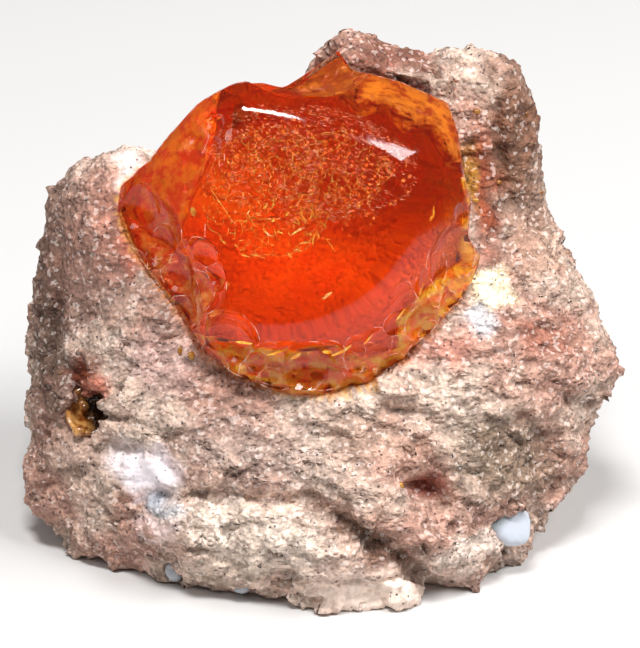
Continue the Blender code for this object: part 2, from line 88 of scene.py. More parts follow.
# The balls that bound its skin: a point on each, which way it faces there, radius.
OPAL_SWELLS = [
    ((0.0, 9.0, 13.0), (0.05, -0.05, 1.0), 60.0),
    ((1.0, 21.2, 12.2), (0.20, 0.58, 0.79), 45.0),
    ((-11.0, 17.0, 12.0), (-0.66, 0.20, 0.72), 80.0),
    ((15.0, 13.0, 7.2), (0.74, 0.00, 0.67), 26.0),
    ((0.0, -8.6, 5.2), (0.00, -0.72, -0.69), 60.0),
    ((16.8, 4.5, 3.2), (0.66, -0.28, -0.70), 60.0),
    ((13.5, 22.5, 0.5), (0.52, 0.38, -0.77), 200.0),
]
OPAL_SHARPNESS = 110.0
OPAL_BOWL = 2.2
# Broken hollows in its rim: a point in each, which way it faces there, radius.
OPAL_SCARS = [
    ((-11.2, -4.4, 6.3), (-0.12, -0.14, 0.98), 5.2),
    ((-5.4, -7.2, 6.1), (0.03, -0.14, 0.99), 5.6),
    ((0.6, -7.2, 5.7), (0.05, -0.12, 0.99), 5.8),
    ((5.6, -3.4, 7.0), (0.36, -0.50, 0.79), 13.0),
    ((5.2, -9.0, 4.6), (0.05, -0.20, 0.98), 4.5),
    ((9.4, -4.2, 5.0), (0.40, -0.25, 0.88), 5.0),
    ((11.6, -0.2, 5.0), (0.50, -0.35, 0.79), 7.0),
    ((15.8, 3.5, 3.4), (0.40, -0.20, 0.89), 6.0),
    ((13.8, 6.5, 5.5), (0.65, -0.15, 0.75), 8.0),
    ((-19.8, 10.6, 1.8), (-0.35, -0.20, 0.91), 8.0),
    ((-17.6, 6.0, 3.0), (-0.40, -0.35, 0.85), 8.0),
    ((-15.2, 2.5, 5.0), (-0.50, -0.30, 0.81), 6.5),
    ((-12.6, 5.2, 8.6), (-0.45, -0.25, 0.86), 5.0),
    ((-14.2, -0.8, 5.6), (-0.45, -0.30, 0.84), 4.5),
    ((-12.9, 19.5, 9.0), (-0.60, 0.20, 0.77), 3.5),
    ((-0.5, 28.2, -1.0), (-0.15, 0.45, 0.88), 9.0),
]
DOME_OUT = 11.0  # about how far the dome stands out of the face
# Small chips that only the finished surface shows: where, depth under the skin, how the break leans across
# and up from the skin there, and its radius.
CHIPS = [
    ((-19.0, 11.8), 0.45, (-0.20, 0.30), 5.0),  # at the left
    ((-17.2, 8.4), 0.40, (0.15, -0.30), 3.6),
    ((-14.8, 5.4), 0.50, (-0.05, 0.40), 3.6),
    ((-11.6, 4.6), 0.40, (0.35, 0.25), 2.2),
    ((-13.3, 6.8), 0.35, (0.30, 0.50), 2.6),
    ((-10.9, 21.6), 0.25, (-0.35, 0.05), 3.0),  # along the ridge of the blade
    ((-11.3, 19.0), 0.30, (-0.40, 0.10), 3.4),
    ((15.0, 11.6), 0.30, (0.40, 0.10), 3.0),
]
# Places that are full of small chips: middle, half sizes, how many, and the largest radius.
CHIPPED = [
    ((-15.6, 5.0), (4.6, 4.6), 22, 4.0),
    ((-7.0, -3.8), (5.6, 2.2), 16, 5.0),
    ((2.6, -5.0), (5.6, 2.6), 18, 4.0),
    ((12.4, 2.2), (4.4, 3.6), 14, 4.0),
]
CHIP_LEAN = 0.45
CHIP_DEPTH = (0.12, 0.4)
LEAST_CHIP = 1.6
NODULE_FINENESS = 6
SCAR_FINENESS = 5
CHIP_FINENESS = 4
WAVE_SPACING = 5.0  # of the slow waves on the broken glass surface
WAVE_HEIGHT = 0.07
SHARP_DEG = 12.0  # steeper edges than this stay sharp

# ---- Clear opal ----
OPAL_TINT = (0.990, 0.645, 0.020)
OPAL_DENSITY = 150.0  # with the tint, this gives how much of each colour a metre of opal takes out
OPAL_IOR = 1.45
VEIL_MIDDLE = (-1.0, 17.0)  # of the scuffed upper part of the dome
VEIL_HALF = (11.5, 6.5)
VEIL_DULLNESS = 0.22
LEAST_ROUGHNESS = 0.02
RIPPLE_BUMP = 0.02
VEIL_BUMP = 0.016

# ---- Inside the opal: ranges are least and most, pairs of colours go from one to the other ----
# The net of fine cracks: middle, half sizes and the spacing of its cells.
CRAZE_NETS = [
    ((-5.2, 13.6), (6.2, 5.8), 0.75),
    ((0.0, 15.6), (6.4, 4.2), 0.95),
]
CRAZE_DEPTH = (0.12, 0.6)
CRAZE_WIDTH = (0.035, 0.08)
CRAZE_KEEP = 0.72  # the share of the net's edges that are cracked
CRAZE_SPREAD = 1.15  # how far the net goes past its half sizes
CRAZE_LEAST_GAP = 0.55  # between the middles of cells, in shares of the spacing
CRAZE_LONGEST = 2.2  # of a crack, in shares of the spacing
CRAZE_BOW = 0.16  # of a crack, in shares of its length
CRACK_THICK = 0.03
# Colours of the crazing, also used for the single bright cracks that stand in for glints.
CRACK_AND_GLINT_COLOURS = ((252, 150, 36), (255, 220, 96))
# Short bright arcs below the net; headings and bends in radians.
ARC_COUNT = 46
ARC_MIDDLE = (-4.6, 9.6)
ARC_HALF = (5.2, 2.6)
ARC_HEADINGS = (-0.5, 0.3, 2.4)
ARC_TURN = 0.9  # the most that an arc is turned from one of the headings
ARC_LENGTH = (0.5, 1.8)
ARC_BEND = (-0.9, 0.9)
ARC_DEPTH = (0.15, 0.8)
ARC_SINK = (-0.1, 0.3)
ARC_WIDTH = (0.10, 0.26)
ARC_STEP = 0.35
ARC_WANDER = 0.12
ARC_TILT = 1.2
# Single bright cracks, partly real cracks and partly painted glints: where each starts, its heading in
# degrees, length, width and depth.
VEINS = [
    ((-11.4, 14.6), -50.0, 5.6, 0.10, 0.4),
    ((-15.2, 12.9), -60.0, 1.6, 0.9, 1.2),
    ((-14.6, 12.2), -20.0, 0.8, 0.5, 1.2),
    ((14.4, 13.2), -70.0, 1.4, 0.5, 1.0),
    ((14.7, 12.2), -130.0, 1.2, 0.35, 1.0),
    ((14.8, 10.8), -60.0, 1.0, 0.3, 0.8),
    ((0.0, 3.0), 25.0, 1.4, 0.35, 0.6),
    ((-9.4, -2.4), -12.0, 2.0, 0.3, 0.12),
    ((-6.2, -4.6), 8.0, 3.0, 0.4, 0.12),
    ((-3.4, -5.6), 30.0, 1.6, 0.5, 0.12),
    ((0.4, -4.4), -35.0, 1.8, 0.4, 0.12),
    ((1.6, -5.8), 14.0, 3.2, 0.35, 0.12),
    ((6.0, -4.8), 55.0, 2.0, 0.3, 0.12),
    ((10.2, -1.6), 35.0, 2.2, 0.35, 0.12),
    ((13.4, 1.4), 60.0, 2.0, 0.3, 0.12),
]
VEIN_BEND = 0.1
VEIN_SINK = 0.3
SCUFF_COUNT = 2400
SCUFF_HEADING = (-0.25, 0.35)  # mean and spread, in radians
SCUFF_LENGTH = (0.15, 0.6)
SCUFF_BEND = 0.3
SCUFF_DEPTH = (0.06, 0.35)
SCUFF_WIDTH = (0.03, 0.07)
SCUFF_COLOURS = ((255, 140, 88), (255, 190, 150))
FLAKE_COUNT = 1500
FLAKE_MIDDLE = (-1.0, 16.0)
FLAKE_SPREAD = (0.7, 1.1)  # of the veil's half sizes
FLAKE_DEPTH = (0.3, 3.0)
FLAKE_SIZE = (0.07, 0.26)
FLAKE_COLOURS = ((240, 100, 26), (255, 146, 50))
# Cloudy breaks inside the opal, partly real clouding and partly painted glow and glints of the light that
# passes through the nodule. Outline on the face; depth under the finished skin, how much deeper they lie at
# the border and how far in that starts, size and height of their facets, how steeply the facets face up; two
# colours.
SHEETS = [
    ([(-13.4, -0.6), (-8.0, -1.9), (-3.0, -2.4), (2.0, -2.0), (5.0, -3.2), (9.4, -1.6), (9.4, -5.4),
      (7.2, -8.0), (1.0, -8.2), (-4.0, -7.4), (-9.0, -5.6)],
     (0.2, 1.8, 0.8, 1.6, 0.4, 1.6), (255, 180, 40), (255, 108, 12)),
    ([(8.0, -4.4), (11.6, -1.6), (15.0, 1.4), (17.8, 3.6), (17.8, 7.0), (14.8, 7.2), (11.0, 4.0), (7.8, 0.6)],
     (0.2, 1.8, 0.8, 1.5, 0.4, 1.3), (255, 190, 50), (255, 124, 18)),
    ([(1.4, 23.4), (3.8, 21.4), (6.2, 22.0), (8.2, 19.8), (10.8, 19.6), (12.4, 17.0), (14.6, 16.2),
      (15.2, 20.6), (13.2, 24.6), (8.0, 26.2), (2.2, 26.6)],
     (1.6, 5.0, 4.4, 1.2, 0.8, 0.0), (240, 150, 46), (190, 66, 14)),
    ([(-20.0, 12.6), (-17.6, 18.4), (-13.2, 23.4), (-9.2, 26.2), (-10.2, 22.8), (-11.1, 17.2), (-14.2, 9.0),
      (-15.6, 8.2), (-18.0, 9.4)],
     (2.8, 2.5, 1.4, 2.0, 0.7, 0.0), (255, 136, 30), (244, 76, 18)),
    ([(-21.0, 12.0), (-17.0, 9.6), (-14.4, 8.0), (-9.6, 4.6), (-12.4, -0.8), (-15.6, 1.0), (-18.8, 5.6)],
     (1.4, 3.0, 2.0, 1.2, 0.6, 0.0), (255, 160, 76), (240, 84, 24)),
    ([(-3.4, 25.0), (0.0, 27.4), (2.4, 29.4), (4.2, 27.6), (3.6, 24.6)],
     (0.8, 0.8, 1.0, 1.2, 0.2, 0.0), (216, 114, 12), (180, 68, 6)),
    ([(14.4, 3.8), (16.4, 4.4), (17.6, 8.6), (17.4, 13.0), (16.4, 17.0), (14.9, 16.0), (15.3, 12.0),
      (14.6, 8.2)],
     (0.5, 1.2, 0.8, 1.1, 0.5, 0.6), (250, 176, 48), (206, 92, 20)),
]
SHEET_SPACING = 0.35
SHEET_THICK = 0.05
SHEET_LEAST_DEPTH = 0.4
# Painted glints, as bright lines along the broken edges: middle and half sizes of the places that have them,
# and how many.
EDGE_PLACES = [
    ((-15.5, 5.5), (6.0, 6.0), 0.48),
    ((0.0, -3.5), (14.0, 5.5), 0.5),
    ((14.0, 3.5), (5.0, 5.0), 0.45),
    ((-11.0, 20.0), (1.6, 4.0), 0.3),
]
EDGE_ANGLE_DEG = 13.0
EDGE_WIDTH = 0.03
EDGE_RUN = 0.7  # about how long the bright stretches are
EDGE_LEAST_OUT = -1.0  # edges that lie further back than this have no bright line
EDGE_SHORTEST = 0.02
# Colours of the painted glints along the edges.
PAINTED_GLINT_COLOURS = ((255, 190, 150), (255, 236, 220))

# ---- The rock ----
ROCK_VOXEL = 0.38
ROCK_SOFTEN = 2
CONTACT_DEPTH = 0.45  # how far the socket's wall stands in the opal, so that no air lies between them
WALL_REACH = 2.0  # skin that faces the nodule from within this much of it is the socket's wall
BASE_KEEP = 0.6  # the grain fades out over this height above the floor
BASE_FLAT = 0.08  # skin lower than this lies on the floor
SIDE_SWELL = 0.45  # makes up for what softening takes off the stone's sides
FRONT_DEPTH = 12.0  # grooves and patches of colour reach this far behind the face
# Facets of the broken stone: widths along each axis, how much they lean, height.
GRAIN = [
    ((4.4, 2.4, 2.6), 1.2, 0.95),
    ((2.0, 1.2, 1.2), 1.2, 0.48),
    ((0.95, 0.65, 0.65), 1.0, 0.2),
]
# Places where the stone's skin is smoother: middle, half sizes, the share of the grain that is left.
SMOOTH_PLACES = [
    ((-24.0, 8.0), (6.0, 10.0), 0.35),
    ((17.6, 15.0), (2.6, 9.0), 0.4),
    ((22.5, 18.0), (3.0, 12.0), 0.6),
    ((-18.5, -16.4), (4.5, 2.4), 0.4),
    ((13.6, -2.8), (5.0, 3.0), 0.6),
]
# Grooves, cracks and the drops below ledges: start and end (across, up), half width, depth.
GROOVES = [
    ((-17.5, -18.4), (-8.0, -18.8), 0.9, 1.0),
    ((-8.0, -18.8), (-1.0, -19.0), 0.9, 1.2),
    ((-1.0, -19.0), (3.0, -21.5), 1.1, 1.8),
    ((3.0, -21.5), (7.0, -23.8), 1.1, 1.8),
    ((7.0, -23.8), (12.0, -28.0), 1.0, 1.4),
    ((9.6, -16.0), (13.5, -19.5), 1.3, 1.6),
    ((7.0, -9.0), (10.5, -9.6), 0.8, 1.2),
    ((10.5, -9.6), (16.0, -11.8), 0.9, 1.0),
    ((-21.5, -13.2), (-18.0, -14.2), 0.7, 1.1),
    ((-18.0, -14.2), (-14.5, -17.5), 0.7, 1.0),
    ((-28.2, 16.0), (-28.8, 6.0), 0.8, 0.6),
    ((-28.6, 2.0), (-29.4, -4.0), 0.7, 0.5),
    ((2.6, 27.4), (8.0, 26.6), 0.6, 1.5),
    ((8.0, 26.6), (13.5, 25.2), 0.7, 1.4),
    ((18.6, 28.0), (19.6, 20.0), 0.7, 0.9),
    ((19.6, 20.0), (20.5, 14.0), 0.8, 0.9),
    ((20.5, 14.0), (19.0, 9.5), 1.0, 0.9),
    ((20.0, -8.0), (26.0, -14.0), 0.9, 0.8),
    ((15.0, -14.0), (20.0, -20.0), 0.9, 0.8),
    ((24.0, -7.0), (31.0, -9.0), 0.8, 0.6),
]
# Small lumps that stand out of the skin: middle, half sizes, height.
LUMPS = [
    ((-25.3, -6.4), (1.4, 1.0), 1.0),  # hangs over the vug
    ((-27.6, -7.6), (0.8, 0.7), 0.7),
    ((-17.4, -22.2), (1.8, 1.2), 0.9),
    ((-17.2, -19.6), (2.2, 0.9), 0.4),
    ((-14.4, -3.2), (0.9, 0.8), 0.6),
    ((8.0, -7.0), (2.4, 1.4), 0.8),
    ((3.6, 29.6), (3.0, 1.6), 0.6),
]
# Dark pits: middle, half sizes, depth.
PITS = [
    ((-27.9, -5.0), (0.9, 1.1), 1.2),
    ((11.4, -17.2), (1.8, 1.5), 1.4),
    ((20.2, 14.6), (1.5, 1.8), 0.8),
    ((-28.5, -21.0), (1.6, 1.6), 1.0),
]
# Broad patches of colour on the stone, some of them painted shade as marked: middle (across, up), half sizes,
# turn in degrees, colour, how strong.
ROCK_PATCHES = [
    # Painted shade: the darker left side, which faces away from the lights.
    ((-29.8, 2.0), (3.4, 17.0), 0.0, (98, 72, 60), 0.9),
    ((-24.6, 9.6), (5.4, 10.4), 0.0, (148, 108, 94), 0.9),
    ((-22.5, 12.0), (2.5, 5.0), 0.0, (186, 122, 102), 0.5),
    ((-20.5, 9.0), (1.5, 4.0), 0.0, (196, 112, 88), 0.8),
    ((-21.0, 17.0), (1.8, 2.4), 0.0, (240, 212, 206), 1.0),
    ((-26.0, -5.5), (2.3, 2.4), 0.0, (112, 52, 30), 1.0),
    ((-24.5, -7.2), (1.8, 1.2), 0.0, (190, 114, 92), 0.9),
    ((-18.8, -15.8), (4.6, 2.6), -25.0, (244, 234, 240), 1.0),
    ((-17.2, -19.6), (2.4, 1.2), -10.0, (176, 184, 196), 1.0),
    ((-17.4, -22.0), (2.0, 1.3), -10.0, (236, 204, 202), 1.0),
    ((-26.0, -14.0), (4.0, 4.0), -15.0, (192, 160, 144), 0.8),
    ((-17.0, -4.0), (5.0, 3.5), -20.0, (198, 162, 152), 0.9),
    ((-7.6, -13.5), (10.0, 4.0), -10.0, (170, 146, 134), 0.8),
    ((-7.0, -23.0), (11.0, 5.0), -8.0, (218, 198, 182), 0.9),
    ((5.5, -29.5), (9.0, 3.0), 5.0, (250, 228, 212), 0.9),
    ((24.1, -1.5), (5.0, 3.0), -10.0, (148, 92, 74), 0.9),
    ((13.6, -2.8), (5.0, 2.6), 0.0, (194, 130, 112), 0.9),
    ((18.5, 3.7), (2.5, 2.5), 0.0, (252, 232, 196), 1.0),
    ((17.3, 0.7), (2.6, 1.6), 0.0, (206, 200, 202), 1.0),
    # Painted shade on the pale block at the right.
    ((21.5, 20.0), (4.5, 12.0), 0.0, (108, 68, 46), 0.9),
    ((17.6, 14.6), (2.2, 8.0), 5.0, (138, 70, 44), 1.0),
    ((16.4, 16.0), (1.0, 4.0), 5.0, (160, 112, 40), 0.9),
    # Dark red crack, partly its own colour and partly painted shadow under the overhanging block above it.
    ((8.7, 25.9), (6.0, 0.9), -10.0, (92, 34, 24), 1.0),
    ((8.2, 29.2), (7.0, 2.4), -5.0, (124, 74, 58), 0.9),
    ((24.0, 8.0), (3.0, 4.0), -30.0, (172, 134, 114), 0.7),
    # Painted shade: the lower right faces down and away from the lights.
    ((20.0, -14.8), (7.0, 5.0), -20.0, (130, 108, 90), 0.9),
    ((15.8, -24.6), (6.0, 2.0), 25.0, (226, 204, 190), 0.9),
    ((11.7, -17.8), (2.2, 2.0), 0.0, (128, 60, 46), 0.9),
    # Painted shadow in the gully below the overhanging brow.
    ((5.6, -23.5), (8.0, 1.1), -38.0, (106, 78, 62), 0.9),
    ((6.0, -12.0), (6.0, 3.0), -20.0, (176, 142, 124), 0.7),
]
PATCH_WANDER = 1.6
PALE_PATCH = 205  # patches with every colour value above this show their grains less
STONE = (182, 152, 136)
STONE_PINK = (174, 128, 112)
STONE_PALE = (204, 182, 166)
PALE_GRAIN = (255, 246, 240)
DARK_FLECK = (50, 30, 40)
CLUMP_CONTRAST = 0.28  # how much lighter and darker the grains are
GRAIN_CONTRAST = 0.25
FINE_CONTRAST = 0.16
COARSE_BUMP = 0.95
FINE_BUMP = -0.22
SOCKET_WALL = (255, 204, 100)  # pale stone behind the opal, which sends the light back out through it
SOCKET_CLOUD = (248, 172, 84)
SOCKET_PAINTED_SHADE = (206, 118, 40)  # its lower part, darker: painted shade
SOCKET_SHADE_TOP = 12.0  # the painted shade fades out up to this height

# ---- The small opals ----
# Rounded lobes on the vug's lining: where, radius, how deep their middles lie.
CRUST_LOBES = [
    ((-28.0, -10.2), 0.85, -0.1),
    ((-27.2, -11.2), 0.8, -0.1),
    ((-26.3, -11.8), 0.65, -0.1),
    ((-28.2, -9.1), 0.5, 0.0),
    ((-25.7, -9.1), 0.65, -0.3),
]
CRUST_VOXEL = 0.14
CRUST_SHRINK = (0.96, 0.96, 1.0)
CRUST_SINK = 0.5
CRUST_COLOURS = ((120, 62, 20), (206, 150, 84))
# Painted shade on the lining's right and upper part.
CRUST_PAINTED_SHADE = (34, 18, 9)
KNOB_SIZE = 1.1
KNOB_HEIGHT = 0.3
# Specks of amber opal in the stone's skin: where, radius.
SPECKS = [
    ((17.0, 23.1), 0.55), ((19.3, 15.4), 0.45), ((24.0, 14.3), 0.3), ((22.4, 22.8), 0.35),
    ((8.8, -17.6), 0.45), ((-14.0, -3.4), 0.6), ((-15.1, -2.9), 0.4), ((-28.2, -5.4), 0.3),
    ((16.4, 16.4), 0.5), ((16.7, 14.8), 0.5), ((16.9, 13.4), 0.4), ((-21.4, 12.6), 0.5),
]
SPECK_COLOURS = ((112, 58, 16), (176, 124, 48))
CHIP_FORM = (0.18, 0.3, 0.0)  # of the milky opals: voxel size, how much they are swelled, least whiteness
BEAD_FORM = (0.08, 0.05, 0.8)
GLASSY_COLOURS = ((92, 98, 94), (150, 156, 154))
MILKY_WHITE = (190, 196, 206)

# ---- The stage, in metres ----
FLOOR_HALF = 1.5
FLOOR_DROP = 0.00005  # so that it doesn't touch the stone's flat underside
FLOOR_GREY = (206, 205, 204)
# Lights: name, azimuth and elevation in degrees, distance, sizes, watts.
LIGHTS = [
    ("top", -14.0, 72.0, 0.8, (0.25, 0.12), 6.2),
    ("right", 72.0, 52.0, 0.75, (0.46, 0.22), 5.8),
    ("left", -60.0, 45.0, 0.9, (0.30, 0.30), 1.2),
]
LIGHT_TARGET = (0.0, 0.0, 0.028)
ROOM_GREY = (152, 150, 148)
ROOM_STRENGTH = 0.4


# ---- Colours, directions and places ----
def srgb(red, green, blue):
    """A colour as Blender's linear values."""
    linear = []
    for level in (red, green, blue):
        share = level / 255.0
        linear.append(share / 12.92 if share <= 0.04045 else ((share + 0.055) / 1.055) ** 2.4)
    return tuple(linear)


def unit(vector):
    """The same direction with a length of one."""
    vector = np.array(vector, float)
    return vector / np.linalg.norm(vector)


def to_world(points):
    """Points of the face frame, in millimetres, as world points in metres."""
    turn = np.array(FACE.to_3x3())
    return (np.asarray(points, float) @ turn.T + np.array(FACE.translation)) * MM


def to_face(points):
    """World points in metres as points of the face frame, in millimetres."""
    turn = np.array(FACE.to_3x3())
    return (np.asarray(points, float) / MM - np.array(FACE.translation)) @ turn


def noise_lean(place):
    """Three noises at once: a vector that changes smoothly from place to place."""
    return Vector([noise.noise(place + Vector((shift, 0.0, 0.0))) for shift in (11.3, 47.1, 83.9)])


def ellipse_place(draw, middle, half, spread=1.0):
    """A random place of the face, spread evenly over an ellipse."""
    turn = draw.uniform(0.0, 2.0 * math.pi)
    share = math.sqrt(draw.random()) * spread
    return middle[0] + half[0] * share * math.cos(turn), middle[1] + half[1] * share * math.sin(turn)


def ellipse_offset(points, middle, half):
    """How far points lie from an ellipse's middle, across and up, in shares of its half sizes."""
    return (points[:, :2] - np.array(middle)) / np.array(half)


# ---- The nodule's shape ----
def ball_mesh(subdivisions):
    """The bmesh of an icosphere, and its unit directions, one row each."""
    shape = bmesh.new()
    bmesh.ops.create_icosphere(shape, subdivisions=subdivisions, radius=1.0)
    return shape, np.array([vertex.co for vertex in shape.verts], float)


def outline_reach(directions):
    """How far the nodule's outline lies from its core along each direction's compass turn."""
    corners = np.array(OPAL_OUTLINE, float) - np.array(OPAL_CORE[:2])
    turns = np.arctan2(corners[:, 1], corners[:, 0])
    order = np.argsort(turns)
    corners, turns = corners[order], turns[order]
    wanted = np.arctan2(directions[:, 1], directions[:, 0])
    first = np.searchsorted(turns, wanted) - 1
    start = corners[first]
    edge = corners[(first + 1) % len(corners)] - start
    aim = np.stack([np.cos(wanted), np.sin(wanted)], axis=1)
    crossing = start[:, 0] * edge[:, 1] - start[:, 1] * edge[:, 0]
    return crossing / (aim[:, 0] * edge[:, 1] - aim[:, 1] * edge[:, 0])


def sphere_reach(directions, point, normal, radius):
    """How far from the nodule's core each direction leaves a sphere through the point, facing normal."""
    to_centre = np.array(point) - unit(normal) * radius - np.array(OPAL_CORE)
    middle = directions @ to_centre
    under_root = middle**2 - (to_centre @ to_centre - radius**2)
    return middle + np.sqrt(np.maximum(under_root, 0.0))


def opal_reach(directions):
    """How far the whole nodule's skin lies from its core along each direction."""
    flat = np.maximum(np.hypot(directions[:, 0], directions[:, 1]), TINY)
    behind = np.maximum(-directions[:, 2], 0.0) / OPAL_DEPTH
    wall = outline_reach(directions)
    reaches = [((flat / wall) ** OPAL_BOWL + behind**OPAL_BOWL) ** (-1.0 / OPAL_BOWL)]
    for point, normal, radius in OPAL_SWELLS:
        reaches.append(sphere_reach(directions, point, normal, radius))
    total = sum((1.0 / np.maximum(reach, 1e-3)) ** OPAL_SHARPNESS for reach in reaches)
    return total ** (-1.0 / OPAL_SHARPNESS)


def socket_gap(points):
    """How far each point lies outside the whole nodule's skin."""
    offset = points - np.array(OPAL_CORE)
    reach = np.linalg.norm(offset, axis=1)
    return reach - opal_reach(offset / np.maximum(reach, TINY)[:, None])


def under_skin(place, depth):
    """A point this deep under the whole nodule's skin, seen at a place of the face."""
    guess = unit(np.array((place[0], place[1], DOME_OUT)) - np.array(OPAL_CORE))
    reach = float(opal_reach(guess[None, :])[0])
    return np.array(OPAL_CORE) + guess * (reach - depth)


# ---- Meshes and objects ----
def new_object(name, mesh, finish=None):
    """Links an object into the scene."""
    made = bpy.data.objects.new(name, mesh)
    bpy.context.scene.collection.objects.link(made)
    if finish:
        made.data.materials.clear()
        made.data.materials.append(finish)
    return made


def mesh_from(name, points, faces):
    """A mesh from face-frame points and faces."""
    mesh = bpy.data.meshes.new(name)
    mesh.from_pydata([tuple(point) for point in to_world(points)], [], faces)
    mesh.validate()
    return mesh


def shape_object(name, shape, points):
    """Moves a bmesh's vertices to face-frame points and makes it an object."""
    for vertex, point in zip(shape.verts, to_world(points)):
        vertex.co = point
    bmesh.ops.recalc_face_normals(shape, faces=shape.faces)
    mesh = bpy.data.meshes.new(name)
    shape.to_mesh(mesh)
    shape.free()
    return new_object(name, mesh)


def joined(name, parts, finish):
    """One object from several sets of vertices and faces."""
    verts, faces = [], []
    for part_verts, part_faces in parts:
        faces += [tuple(index + len(verts) for index in face) for face in part_faces]
        verts += part_verts
    mesh = mesh_from(name, verts, faces)
    shape = bmesh.new()
    shape.from_mesh(mesh)
    bmesh.ops.recalc_face_normals(shape, faces=shape.faces)
    shape.to_mesh(mesh)
    shape.free()
    return new_object(name, mesh, finish)


def discard(made):
    """Removes a helper object and its mesh."""
    mesh = made.data
    bpy.data.objects.remove(made)
    bpy.data.meshes.remove(mesh)


def baked(helper, name):
    """A helper object's mesh with its modifiers applied; the helper is removed."""
    bpy.context.view_layer.update()
    graph = bpy.context.evaluated_depsgraph_get()
    mesh = bpy.data.meshes.new_from_object(helper.evaluated_get(graph))
    discard(helper)
    mesh.name = name
    return mesh


def node_helper(node):
    """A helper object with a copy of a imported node's solid."""
    return new_object(node + "_helper", frame["nodes"][node].data.copy())


def evened(helper, name, voxel, rounds):
    """A helper object's mesh, remeshed evenly and softened."""
    even = helper.modifiers.new("even", "REMESH")
    even.mode = "VOXEL"
    even.voxel_size = voxel * MM
    soften = helper.modifiers.new("soften", "SMOOTH")
    soften.factor = 0.5
    soften.iterations = rounds
    return baked(helper, name)


def cut_balls(helper, name, balls, fineness):
    """A helper object's mesh with every ball, given as centre and radius, cut out of it."""
    tools = bpy.data.collections.new("scars")
    bpy.context.scene.collection.children.link(tools)
    for number, (centre, radius) in enumerate(balls):
        shape, directions = ball_mesh(fineness)
        ball = shape_object(f"scar_{number}", shape, np.array(centre) + directions * radius)
        bpy.context.scene.collection.objects.unlink(ball)
        tools.objects.link(ball)
    cut = helper.modifiers.new("scars", "BOOLEAN")
    cut.operation = "DIFFERENCE"
    cut.solver = "EXACT"
    cut.operand_type = "COLLECTION"
    cut.collection = tools
    mesh = baked(helper, name)
    for ball in list(tools.objects):
        discard(ball)
    bpy.data.collections.remove(tools)
    return mesh


def read_points(mesh):
    """A mesh's vertices as face-frame points, and its vertex normals in the same frame."""
    flat = np.empty(len(mesh.vertices) * 3)
    mesh.vertices.foreach_get("co", flat)
    normals = np.array([tuple(item.vector) for item in mesh.vertex_normals])
    return to_face(flat.reshape(-1, 3)), normals @ np.array(FACE.to_3x3())


def write_points(mesh, points):
    """Moves a mesh's vertices to face-frame points."""
    mesh.vertices.foreach_set("co", to_world(points).ravel())
    mesh.update()


def store(mesh, name, values):
    """Gives each of a mesh's vertices a number that its finish reads."""
    mesh.attributes.new(name, "FLOAT", "POINT").data.foreach_set("value", values)


def surface_tree(mesh):
    """A mesh's surface in the face frame, ready to be searched."""
    points, _ = read_points(mesh)
    faces = [tuple(face.vertices) for face in mesh.polygons]
    return BVHTree.FromPolygons([Vector(point) for point in points], faces)


def seen_surface(mesh):
    """A function that gives the face-frame point and normal that the camera sees at a place of the mesh."""
    tree = surface_tree(mesh)
    eye = Vector((0.0, 0.0, CAMERA_DISTANCE))

    def look(place):
        """The point and normal behind a place of the face, or two Nones."""
        hit, normal, _, _ = tree.ray_cast(eye, Vector((*place, 0.0)) - eye)
        return (None, None) if hit is None else (np.array(hit), np.array(normal))

    return look


def dress(made, slot_name, *nodes):
    """Makes a finished piece ride on the root body and hides the imported nodes that it stands for; the slot
    that it would take its finish from is not used.
    """
    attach(made, "root")
    if nodes:
        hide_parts(*nodes)


